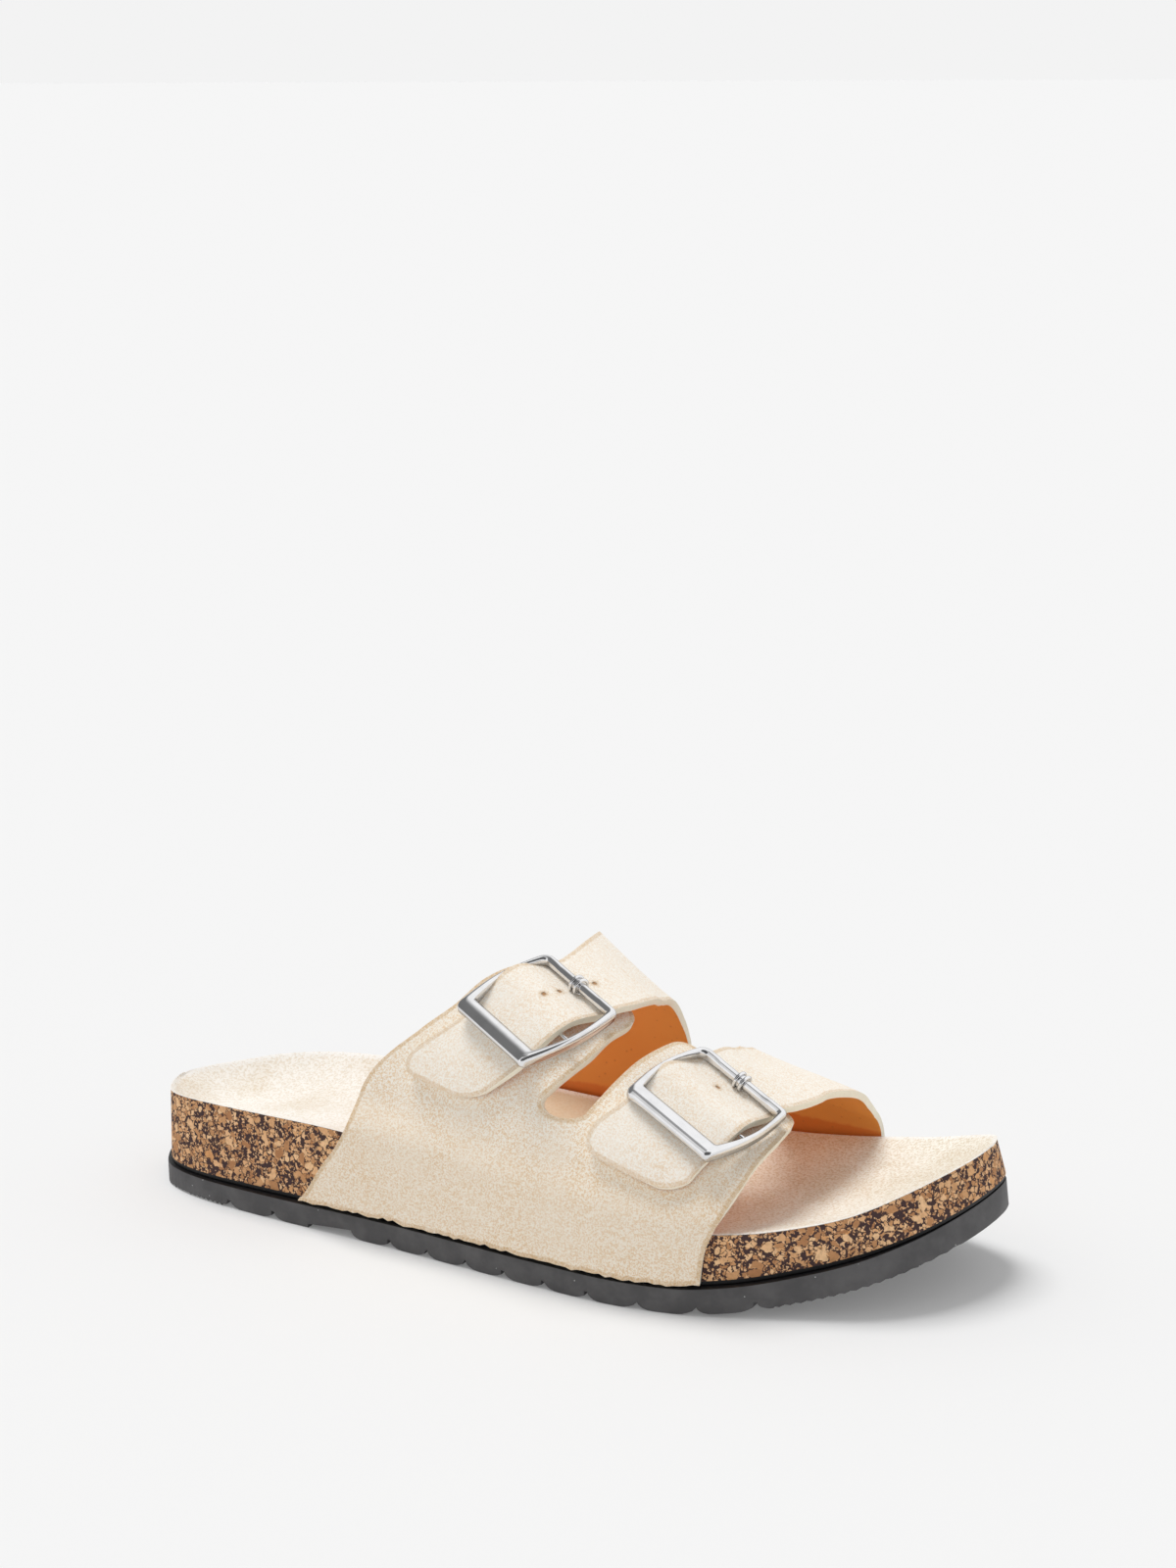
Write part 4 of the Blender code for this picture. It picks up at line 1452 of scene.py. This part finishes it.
@dataclass
class Strap:
    """A strap of the medial quarter: its route over the crown, through its frame and on to its end.

    Inside the frame, pairs give the lifts of its rear and front edges past the thin bar, over the centre
    bar and before the wide bar, and the spread how far its rear edge swells towards the rail. Holes are
    given along and across.
    """

    crossing: Tuple[BandRow, ...]
    thin_bar: BandRow
    wide_bar: BandRow
    end: BandRow
    past_thin: Tuple[float, float]
    arch: Tuple[float, float]
    before_wide: Tuple[float, float]
    spread: float
    holes: Tuple[Tuple[float, float], ...]
    thin_bar_inner: float = 0.13
    arch_top: float = 0.47
    wide_bar_inner: float = 0.79
    late_spread: float = 0.6

    def between(self, share: float, lifts: Tuple[float, float], spread: float) -> BandRow:
        """Cross line between the thin and the wide bar."""
        row = BandRow(*[mix(a, b, share) for a, b in zip(self.thin_bar, self.wide_bar)])
        return row._replace(rear_x=row.rear_x - spread, rear_lift=lifts[0], front_lift=lifts[1])

    def rows(self) -> List[BandRow]:
        """All cross lines from the slot to the end, which lies on the panel below it.

        Returns:
            The cross lines in order.
        """
        inside = (
            self.between(self.thin_bar_inner, self.past_thin, 0.0),
            self.between(self.arch_top, self.arch, self.spread),
            self.between(self.wide_bar_inner, self.before_wide, self.late_spread * self.spread),
        )
        return [*self.crossing, self.thin_bar, *inside, self.wide_bar, self.end]


@dataclass
class Upper:
    """Lateral quarter with two tabs, and medial quarter whose straps lie over them."""

    shape: ShoeShape
    wall: float = 2.2
    strap_wall: float = 2.0
    panel_rows: int = 40
    panel_spacing: float = 1.3
    band_columns: int = 26
    slot_columns: int = 22
    tab_steps: int = 34
    strap_steps: int = 130
    corner_steps: int = 12
    tab_corner: float = 5.0
    strap_corner: float = 7.5
    edge_round: float = 0.95
    edge_steps: int = 4
    crisp_angle: float = 50.0
    foot_rise: float = 0.8
    foot_fray: float = 1.1
    foot_reach: float = 7.0
    fray_scale: float = 0.9
    swell: float = 0.5
    swell_size: float = 26.0
    swell_around: float = 2.0
    lateral_slot: float = 31.5
    medial_slot: float = 147.0
    lateral_edges: Tuple[EdgeRow, ...] = (
        EdgeRow(0.0, 61.0, 189.0),
        EdgeRow(8.0, 69.4, 190.2),
        EdgeRow(12.0, 74.7, 191.3),
        EdgeRow(16.0, 78.3, 192.4),
        EdgeRow(24.0, 82.4, 194.4),
        EdgeRow(37.0, 97.8, 196.8),
    )
    medial_edges: Tuple[EdgeRow, ...] = (
        EdgeRow(180.0, 88.0, 208.5),
        EdgeRow(165.0, 95.0, 208.0),
        EdgeRow(152.0, 105.0, 207.2),
        EdgeRow(140.0, 116.0, 206.6),
    )
    rear_tab: Tuple[BandRow, ...] = (
        BandRow(97.8, 37.0, 141.0, 37.0),
        BandRow(107.0, 46.0, 145.4, 46.0),
        BandRow(113.0, 56.0, 149.2, 56.0),
        BandRow(119.5, 65.0, 151.0, 66.0),
        BandRow(127.5, 74.0, 152.9, 75.0),
        BandRow(133.5, 79.0, 152.8, 79.5),
    )
    front_tab: Tuple[BandRow, ...] = (
        BandRow(152.8, 37.0, 196.8, 37.0),
        BandRow(155.6, 46.0, 197.8, 46.0),
        BandRow(158.0, 56.0, 199.0, 56.0),
        BandRow(160.0, 66.0, 200.0, 66.0),
        BandRow(162.6, 77.0, 200.2, 75.0),
        BandRow(164.5, 84.0, 199.6, 80.5),
    )
    rear_strap: Strap = field(default_factory=lambda: Strap(
        (
            BandRow(116.0, 140.0, 154.0, 140.0),
            BandRow(121.8, 130.0, 153.9, 130.0, 0.2, -0.6),
            BandRow(126.4, 120.0, 153.8, 120.0, 0.6, -1.2),
            BandRow(129.4, 104.0, 153.6, 104.0, 1.2, -1.3),
            BandRow(129.2, 92.0, 153.4, 92.0, 1.8, -1.7),
            BandRow(129.5, 86.5, 152.8, 86.5, 2.1, 1.6),
            BandRow(129.6, 80.5, 151.4, 78.0, 2.2, 4.0),
        ),
        BandRow(128.8, 74.8, 148.9, 71.2, 1.7, 4.8),
        BandRow(112.2, 44.8, 132.9, 38.7, 2.6, 4.4),
        BandRow(92.9, 28.4, 119.8, 25.9, 2.6, 2.6),
        past_thin=(1.2, 4.0),
        arch=(4.6, 6.0),
        before_wide=(2.6, 4.6),
        spread=1.0,
        holes=((62.7, 0.52), (58.5, 0.53), (47.9, 0.53)),
    ))
    front_strap: Strap = field(default_factory=lambda: Strap(
        (
            BandRow(172.0, 140.0, 206.6, 140.0),
            BandRow(173.1, 130.0, 206.3, 130.0, 0.0, 0.9),
            BandRow(174.0, 120.0, 205.7, 120.0, 0.0, 1.8),
            BandRow(175.2, 104.0, 204.3, 104.0, -0.9, 2.6),
            BandRow(175.4, 92.0, 201.5, 90.0, 0.5, 3.2),
            BandRow(173.6, 85.0, 198.8, 81.0, 3.6, 3.4),
        ),
        BandRow(172.4, 80.0, 196.4, 76.2, 3.9, 3.2),
        BandRow(162.2, 48.3, 186.5, 39.8, 2.6, 3.0),
        BandRow(151.8, 27.4, 182.4, 24.6, 2.6, 2.6),
        past_thin=(3.2, 2.4),
        arch=(5.0, 4.6),
        before_wide=(2.6, 3.0),
        spread=1.4,
        holes=((57.8, 0.43),),
    ))

    def panel(self, name: str, edges: Sequence[EdgeRow], roots: Sequence[BandRow],
              slot: float) -> bpy.types.Object:
        """Shape a quarter from its foot up to the roots of its two bands and the slot between them.

        Args:
            name: Name of the sheet.
            edges: Rear and front edges.
            roots: First cross line of the rear and the front band.
            slot: Angle around the last at the slot's floor.

        Returns:
            The sheet.
        """
        rear_root, front_root = roots
        foot = edges[0].around
        root = edges[-1].around
        bands = self.band_columns
        tops = [(mix(rear_root.rear_x, rear_root.front_x, j / bands), root) for j in range(bands)]
        for j in range(self.slot_columns):
            turn = math.pi * j / self.slot_columns
            x = mix(rear_root.front_x, front_root.rear_x, 0.5 - 0.5 * math.cos(turn))
            tops.append((x, mix(root, slot, math.sin(turn))))
        tops += [(mix(front_root.rear_x, front_root.front_x, j / bands), root) for j in range(bands + 1)]
        order = 1.0 if root > foot else -1.0
        arounds = [order * row.around for row in edges]
        rear_curve = Curve(arounds, [row.rear for row in edges])
        front_curve = Curve(arounds, [row.front for row in edges])
        span = front_root.front_x - rear_root.rear_x

        def place(column: int, row: int) -> Vector:
            """Place of the point at a column and row.

            Args:
                column: Step from the rear edge to the front edge.
                row: Step from the foot up.

            Returns:
                The place in metres.
            """
            share = (row / self.panel_rows) ** self.panel_spacing
            top_x, top_around = tops[column]
            around = mix(foot, top_around, share)
            across = mix(column / (len(tops) - 1), (top_x - rear_root.rear_x) / span, share)
            x = mix(rear_curve(order * around), front_curve(order * around), across)
            soft = noise.noise(Vector((x, self.swell_around * around, foot)) / self.swell_size)
            point = self.shape.upper_point(x, around, self.swell * soft * math.sin(math.pi * share))
            over = point.z / MM - self.shape.sole_top(x) - self.shape.seat_gap
            low = max(1.0 - over / self.foot_reach, 0.0) ** 2
            fray = noise.noise(Vector((x * self.fray_scale, foot, 0.0)))
            point.z += (self.foot_rise + self.foot_fray * fray) * low * MM
            return point

        return Bench.grid(name, len(tops) - 1, self.panel_rows, place)

    def route(self, rows: Sequence[BandRow]) -> Tuple[float, Callable[[float], BandRow]]:
        """Measure a band along its middle.

        Args:
            rows: Cross lines along the band.

        Returns:
            The band's length, and a rule for the cross line at a place along it.
        """
        shape = self.shape
        middles = [shape.upper_point(0.5 * (r.rear_x + r.front_x),
                                     0.5 * (r.rear_around + r.front_around), 0.0) for r in rows]
        places = [0.0]
        for first, second in zip(middles, middles[1:]):
            places.append(places[-1] + (second - first).length / MM)
        columns = [Curve(places, [getattr(row, name) for row in rows]) for name in BandRow._fields]
        return places[-1], lambda along: BandRow(*[column(along) for column in columns])

    def on_line(self, line: BandRow, across: float) -> Vector:
        """Point of a band's outer face at a share of its width.

        Args:
            line: Cross line of the band.
            across: Share of the width from its rear edge.

        Returns:
            The point in world metres.
        """
        x = mix(line.rear_x, line.front_x, across)
        around = mix(line.rear_around, line.front_around, across)
        return self.shape.upper_point(x, around, mix(line.rear_lift, line.front_lift, across))

    def band(self, name: str, rows: Sequence[BandRow], steps: int, corner: float) -> bpy.types.Object:
        """Shape a band whose far end has rounded corners.

        Args:
            name: Name of the sheet.
            rows: Cross lines along the band.
            steps: Faces along the band before its rounded end.
            corner: Radius of the corners.

        Returns:
            The sheet.
        """
        length, line_at = self.route(rows)
        alongs = [(length - corner) * i / steps for i in range(steps)]
        for k in range(self.corner_steps + 1):
            alongs.append(length - corner * (1.0 - math.sin(0.5 * math.pi * k / self.corner_steps)))
        lines = []
        for along in alongs:
            line = line_at(along)
            width = (self.shape.upper_point(line.front_x, line.front_around, 0.0)
                     - self.shape.upper_point(line.rear_x, line.rear_around, 0.0)).length / MM
            left = max(corner - (length - along), 0.0)
            lines.append((line, (corner - math.sqrt(max(corner * corner - left * left, 0.0))) / width))

        def place(column: int, row: int) -> Vector:
            """Place of the point at a column across and a row along the band."""
            line, trim = lines[row]
            return self.on_line(line, mix(trim, 1.0 - trim, column / self.band_columns))

        return Bench.grid(name, self.band_columns, len(alongs) - 1, place)

    def tab(self, name: str, rows: Sequence[BandRow]) -> bpy.types.Object:
        """Shape a lateral tab."""
        return self.band(name, rows, self.tab_steps, self.tab_corner)

    def strap(self, name: str, strap: Strap) -> bpy.types.Object:
        """Shape a strap, low over its tab, arched over the centre bar and low again to its end."""
        return self.band(name, strap.rows(), self.strap_steps, self.strap_corner)

    def hole_places(self) -> List[Vector]:
        """Places of the punched holes on both straps.

        Returns:
            The places in world metres.
        """
        places = []
        for strap in (self.rear_strap, self.front_strap):
            _, line_at = self.route(strap.rows())
            places += [self.on_line(line_at(along), across) for along, across in strap.holes]
        return places

    def leather(self, name: str, sheets: Sequence[bpy.types.Object], wall: float,
                materials: Sequence[bpy.types.Material]) -> bpy.types.Object:
        """Join shaped sheets and give them the leather's thickness, lining and rounded cut edge.

        Args:
            name: Name of the piece.
            sheets: Sheets that meet edge to edge.
            wall: Thickness.
            materials: Outer face, lining and cut edge.

        Returns:
            The finished leather.
        """
        obj = Bench.join(name, sheets)
        Bench.weld(obj)
        first = obj.data.polygons[0]
        if first.normal.y * first.center.y < 0.0:
            obj.data.flip_normals()
        for material in materials:
            obj.data.materials.append(material)
        Bench.mark_edges(obj, Bench.free_edge(obj))
        Bench.apply(obj, "SOLIDIFY", thickness=wall * MM, offset=-1.0, use_even_offset=True,
                    material_offset=1, material_offset_rim=2)
        Bench.apply(obj, "BEVEL", width=self.edge_round * MM, segments=self.edge_steps, limit_method="ANGLE",
                    angle_limit=Bench.SHARP, material=2, use_clamp_overlap=True)
        return obj

    def build(self, suede: bpy.types.Material, strap_suede: bpy.types.Material, lining: bpy.types.Material,
              edge: bpy.types.Material) -> None:
        """Build both quarters.

        Args:
            suede: Outer face of the lateral quarter.
            strap_suede: Outer face of the medial quarter and its straps.
            lining: Inner face of both.
            edge: Cut edge of both.
        """
        lateral = self.panel("lateral_panel", self.lateral_edges, (self.rear_tab[0], self.front_tab[0]),
                             self.lateral_slot)
        sheets = [lateral, self.tab("rear_tab", self.rear_tab), self.tab("front_tab", self.front_tab)]
        obj = self.leather("lateral_quarter", sheets, self.wall, (suede, lining, edge))
        Bench.hand_over(obj, "upper", "upper_suede", self.crisp_angle)
        roots = (self.rear_strap.crossing[0], self.front_strap.crossing[0])
        medial = self.panel("medial_panel", self.medial_edges, roots, self.medial_slot)
        straps = [self.strap("rear_strap", self.rear_strap), self.strap("front_strap", self.front_strap)]
        sheets = [medial] + straps
        obj = self.leather("medial_quarter", sheets, self.strap_wall, (strap_suede, lining, edge))
        Bench.hand_over(obj, "upper", "upper_suede", self.crisp_angle)


class Seat(NamedTuple):
    """Place of a frame: its centre, its bars' direction and its rails' direction, lateral to medial."""

    name: str
    centre: Tuple[float, float, float]
    bar: Tuple[float, float, float]
    rail: Tuple[float, float, float]


@dataclass
class Buckle:
    """Cast frame with wide, thin and centre bars and bowed rails, and the prong tip on its thin bar."""

    shape: ShoeShape
    seat: Seat
    outer_halves: Tuple[float, ...] = (14.3, 15.6, 14.9, 15.1)
    wide_reach: float = 16.1
    thin_reach: float = 15.3
    wide_bar: float = 5.6
    thin_bar: float = 2.8
    rail: float = 1.6
    bow: float = 2.0
    height: float = 3.2
    thin_height: float = 2.9
    rail_height: float = 3.3
    foot_drop: float = 1.0
    outer_corners: Tuple[float, ...] = (1.3, 1.4, 2.8, 1.6)
    inner_corners: Tuple[float, ...] = (0.7, 0.7, 1.2, 0.7)
    side_steps: int = 18
    corner_steps: int = 8
    ring_steps: int = 24
    round_top: float = 1.0
    flat_foot: float = 0.5
    boxy: float = 1.0
    centre_bar: float = 1.2
    centre_drop: float = 2.0
    collar_radius: float = 2.15
    collar_wire: float = 0.5
    collar_gap: float = 0.95
    sleeve_radius: float = 1.95
    sleeve_per_gap: float = 2.6
    sleeve_bevel: float = 0.25
    bar_bevel: float = 0.3
    bevel_steps: int = 2
    bar_sides: int = 20
    collar_sides: int = 32
    wire_sides: int = 12
    taper_rate: float = 1.6
    corner_power: int = 6
    bar_share: float = 0.6
    crisp_angle: float = 45.0

    def matrix(self) -> Matrix:
        """Place and turn of the frame, its bars along x and its rails along y.

        Returns:
            The matrix from the flat frame to the shoe.
        """
        bar = Vector(self.seat.bar).normalized()
        face = bar.cross(Vector(self.seat.rail)).normalized()
        turn = Matrix((bar, face.cross(bar), face)).transposed().to_4x4()
        return Matrix.Translation(self.shape.place(*self.seat.centre)) @ turn

    def loop(self, halves: Sequence[float], bottom: float, top: float,
             corners: Sequence[float]) -> List[Vector]:
        """Closed rounded rectangle with bowed sides.

        Args:
            halves: Half width at each corner.
            bottom: Lower edge.
            top: Upper edge.
            corners: Corner radii.

        Returns:
            Points from the lower right corner round to the left.
        """
        centres = ((halves[0], bottom), (halves[1], top), (-halves[2], top), (-halves[3], bottom))
        inward = ((-1.0, 1.0), (-1.0, -1.0), (1.0, -1.0), (1.0, 1.0))
        arcs = []
        for k, ((x, y), (dx, dy), corner) in enumerate(zip(centres, inward, corners)):
            arc = []
            for i in range(self.corner_steps + 1):
                turn = math.radians(-90.0 + 90.0 * k) + 0.5 * math.pi * i / self.corner_steps
                arc.append(Vector((x + dx * corner + corner * math.cos(turn),
                                   y + dy * corner + corner * math.sin(turn))))
            arcs.append(arc)
        points = []
        for k, arc in enumerate(arcs):
            points += arc
            following = arcs[(k + 1) % 4][0]
            for i in range(1, self.side_steps):
                points.append(arc[-1].lerp(following, i / self.side_steps))
        for point in points:
            share = (point.y - bottom) / (top - bottom)
            bow = self.bow * math.sin(math.pi * min(max(share, 0.0), 1.0))
            point.x += math.copysign(bow * min(abs(point.x) / min(halves), 1.0) ** self.corner_power, point.x)
        return points

    def build_frame(self, metal: bpy.types.Material) -> None:
        """Shape the ring from a torus and add the centre bar.

        Args:
            metal: Its material.
        """
        outer = self.loop(self.outer_halves, -self.wide_reach, self.thin_reach, self.outer_corners)
        inner = self.loop([half - self.rail for half in self.outer_halves], -self.wide_reach + self.wide_bar,
                          self.thin_reach - self.thin_bar, self.inner_corners)
        half = min(self.outer_halves)
        Bench.clear()
        bpy.ops.mesh.primitive_torus_add(major_segments=len(outer), minor_segments=self.ring_steps,
                                         major_radius=1.0, minor_radius=0.25)
        obj = Bench.named("frame_" + self.seat.name)
        for vertex in obj.data.vertices:
            k, j = divmod(vertex.index, self.ring_steps)
            turn = 2.0 * math.pi * j / self.ring_steps
            middle = inner[k].lerp(outer[k], 0.5)
            along = (middle.y + self.wide_reach) / (self.wide_reach + self.thin_reach)
            high = smooth_step(along * self.taper_rate)
            power = mix(self.round_top if math.sin(turn) > 0.0 else self.flat_foot, self.boxy, high)
            out, up = [math.copysign(abs(c) ** power, c) for c in (math.cos(turn), math.sin(turn))]
            point = inner[k].lerp(outer[k], 0.5 + 0.5 * out)
            on_bar = abs(middle.x) < self.bar_share * half
            tall = mix(self.height, self.thin_height if on_bar else self.rail_height, high)
            drop = self.foot_drop * min(abs(middle.x) / half, 1.0) ** self.corner_power * min(up, 0.0)
            vertex.co = Vector((point.x, point.y, 0.5 * tall * up + drop)) * MM
        Bench.clear()
        bpy.ops.mesh.primitive_cylinder_add(vertices=self.bar_sides, radius=0.5 * self.centre_bar * MM,
                                            depth=2.0 * (half + self.bow - 0.5 * self.rail) * MM,
                                            location=(0.0, 0.0, -self.centre_drop * MM),
                                            rotation=(0.0, 0.5 * math.pi, 0.0))
        bar = Bench.named("centre_bar")
        Bench.apply(bar, "BEVEL", width=self.bar_bevel * MM, segments=self.bevel_steps, limit_method="ANGLE",
                    angle_limit=Bench.SHARP)
        Bench.settle(bar)
        obj = Bench.join("frame_" + self.seat.name, [obj, bar])
        self.seat_piece(obj, metal, "buckle_frame_" + self.seat.name)

    def build_prong(self, metal: bpy.types.Material) -> None:
        """Shape the ringed prong tip on the thin bar.

        Args:
            metal: Its material.
        """
        middle = self.thin_reach - 0.5 * self.thin_bar
        pieces = []
        for side in (-1.0, 1.0):
            Bench.clear()
            bpy.ops.mesh.primitive_torus_add(major_segments=self.collar_sides, minor_segments=self.wire_sides,
                                             major_radius=self.collar_radius * MM,
                                             minor_radius=self.collar_wire * MM,
                                             location=(side * self.collar_gap * MM, middle * MM, 0.0),
                                             rotation=(0.0, 0.5 * math.pi, 0.0))
            pieces.append(Bench.named("collar"))
        Bench.clear()
        bpy.ops.mesh.primitive_cylinder_add(vertices=self.collar_sides, radius=self.sleeve_radius * MM,
                                            depth=self.sleeve_per_gap * self.collar_gap * MM,
                                            location=(0.0, middle * MM, 0.0),
                                            rotation=(0.0, 0.5 * math.pi, 0.0))
        sleeve = Bench.named("sleeve")
        Bench.apply(sleeve, "BEVEL", width=self.sleeve_bevel * MM, segments=self.bevel_steps,
                    limit_method="ANGLE", angle_limit=Bench.SHARP)
        pieces.append(sleeve)
        for piece in pieces:
            Bench.settle(piece)
        obj = Bench.join("prong_tip_" + self.seat.name, pieces)
        self.seat_piece(obj, metal, "prong_" + self.seat.name)

    def seat_piece(self, obj: bpy.types.Object, metal: bpy.types.Material, node: str) -> None:
        """Carry a piece of the buckle to its seat and finish it.

        Args:
            obj: Piece modelled flat at the origin.
            metal: Its material.
            node: Solid that it stands for.
        """
        obj.data.transform(self.matrix())
        Bench.weld(obj)
        obj.data.materials.append(metal)
        Bench.hand_over(obj, node, "buckle_metal", self.crisp_angle)

    def build(self, metal: bpy.types.Material) -> None:
        """Build the frame and its prong."""
        self.build_frame(metal)
        self.build_prong(metal)


class Shade(NamedTuple):
    """Dark thing that only the metal mirrors: its brightness, where it hangs and how its edge fades."""

    level: float
    toward: Tuple[float, float, float]
    reach: Tuple[float, float]


@dataclass
class Studio:
    """Pale floor, soft light and the camera at the photograph's angle."""

    shape: ShoeShape
    azimuth: float = 25.51
    elevation: float = 19.66
    roll: float = 0.46
    distance: float = 850.0
    target: Tuple[float, float, float] = (126.0, 0.0, 25.0)
    lens: float = 69.998
    sensor: float = 36.0
    near: float = 0.01
    shift: Tuple[float, float] = (0.02074, 0.22667)
    floor_size: float = 60.0
    backdrop: float = 0.896
    sky: float = 0.44
    sky_horizon: float = 1.6
    mirror: float = 1.1
    flag: Shade = Shade(0.18, (-0.80, -0.05, 0.60), (0.58, 0.84))
    gap: Shade = Shade(0.36, (-0.06, -0.29, 0.955), (0.966, 0.988))
    room: Shade = Shade(0.10, (0.406, -0.85, 0.337), (0.66, 0.84))
    key_energy: float = 1.9
    key_angle: float = 28.0
    key_toward: Tuple[float, float, float] = (-0.30, 0.10, 0.95)

    def build_floor(self) -> None:
        """Lay the floor."""
        Bench.clear()
        bpy.ops.mesh.primitive_plane_add(size=self.floor_size, location=(0.0, 0.0, 0.0))
        floor = Bench.named("studio_floor")
        floor.data.materials.append(PaleFloor().material())

    def build_camera(self) -> None:
        """Set up the camera."""
        turn, rise, roll = [math.radians(a) for a in (self.azimuth, self.elevation, self.roll)]
        back = Vector((math.sin(turn) * math.cos(rise), -math.cos(turn) * math.cos(rise), math.sin(rise)))
        right = Vector((math.cos(turn), math.sin(turn), 0.0))
        up = back.cross(right)
        across = right * math.cos(roll) - up * math.sin(roll)
        above = right * math.sin(roll) + up * math.cos(roll)
        camera = bpy.data.cameras.new("photo_camera")
        camera.lens = self.lens
        camera.sensor_width = self.sensor
        camera.sensor_fit = "AUTO"
        camera.shift_x, camera.shift_y = self.shift
        camera.clip_start = self.near
        holder = bpy.data.objects.new("photo_camera", camera)
        bpy.context.scene.collection.objects.link(holder)
        place = self.shape.place(*self.target) + back * self.distance * MM
        holder.matrix_world = Matrix.Translation(place) @ Matrix((across, above, back)).transposed().to_4x4()
        bpy.context.scene.camera = holder

    def build_world(self) -> None:
        """Light the room: a soft sky for the shoe; white walls, dark flag, gap and room for the metal."""
        world = bpy.data.worlds.new("studio")
        bpy.context.scene.world = world
        world.use_nodes = True
        nodes = Nodes(world.node_tree)
        nodes.tree.nodes.clear()
        direction = nodes.node("ShaderNodeTexCoord", {}, {}, "Generated")
        rise = nodes.node("ShaderNodeSeparateXYZ", {}, {0: direction}, "Z")
        mirrored: Link = 1.0
        for shade in (self.flag, self.gap, self.room):
            within = nodes.vector("DOT_PRODUCT", direction, shade.toward, "Value").ease(*shade.reach)
            mirrored = (1.0 - within * (1.0 - shade.level)) * mirrored
        even = rise.ease(0.0, 1.0) * (1.0 - self.sky_horizon) + self.sky_horizon
        sky = nodes.node("ShaderNodeBackground", {}, {"Color": even, "Strength": self.sky})
        walls = nodes.node("ShaderNodeBackground", {}, {"Color": mirrored, "Strength": self.mirror})
        white = (1.0, 1.0, 1.0, 1.0)
        seen = nodes.node("ShaderNodeBackground", {}, {"Color": white, "Strength": self.backdrop})
        glossy = nodes.node("ShaderNodeLightPath", {}, {}, "Is Glossy Ray")
        straight = nodes.node("ShaderNodeLightPath", {}, {}, "Is Camera Ray")
        around = nodes.node("ShaderNodeMixShader", {}, {0: glossy, 1: sky, 2: walls})
        both = nodes.node("ShaderNodeMixShader", {}, {0: straight, 1: around, 2: seen})
        output = nodes.tree.nodes.new("ShaderNodeOutputWorld")
        nodes.tree.links.new(both.socket, output.inputs["Surface"])

    def build_lights(self) -> None:
        """Hang a soft key light high over the shoe."""
        sun = bpy.data.lights.new("key_light", "SUN")
        sun.energy = self.key_energy
        sun.angle = math.radians(self.key_angle)
        holder = bpy.data.objects.new("key_light", sun)
        holder.visible_glossy = False
        bpy.context.scene.collection.objects.link(holder)
        holder.rotation_euler = Vector(self.key_toward).to_track_quat("Z", "Y").to_euler()

    def build(self) -> None:
        """Build the studio."""
        self.build_floor()
        self.build_camera()
        self.build_world()
        self.build_lights()
        view = bpy.context.scene.view_settings
        view.view_transform = "Standard"


def main() -> None:
    """Build and dress every piece of the shoe."""
    logging.basicConfig(level=logging.INFO, format="%(message)s")
    shape = ShoeShape()
    Studio(shape).build()
    rubber = Rubber().material()
    gap_shade_black = GapShadeBlack().material()
    Sole(shape).build(Cork().material(), rubber, gap_shade_black, SuedeSock().material())
    upper = Upper(shape)
    straps = FauxSuede("cream_faux_suede_straps", pale=(1.0, 0.955, 0.87), grey=(1.0, 0.945, 0.86),
                       scuffs=0.35, rim_weight=0.55, speckle=0.6, holes=tuple(upper.hole_places()))
    upper.build(FauxSuede().material(), straps.material(), TanLining().material(), CutEdge().material())
    metal = PolishedMetal().material()
    seats = (
        Seat("rear", (132.2, -23.7, 70.6), (0.854, -0.408, -0.324), (0.503, 0.809, 0.305)),
        Seat("front", (181.7, -24.2, 51.4), (0.874, -0.224, -0.431), (0.316, 0.936, 0.155)),
    )
    for seat in seats:
        Buckle(shape, seat).build(metal)


if __name__ == "__main__":
    main()
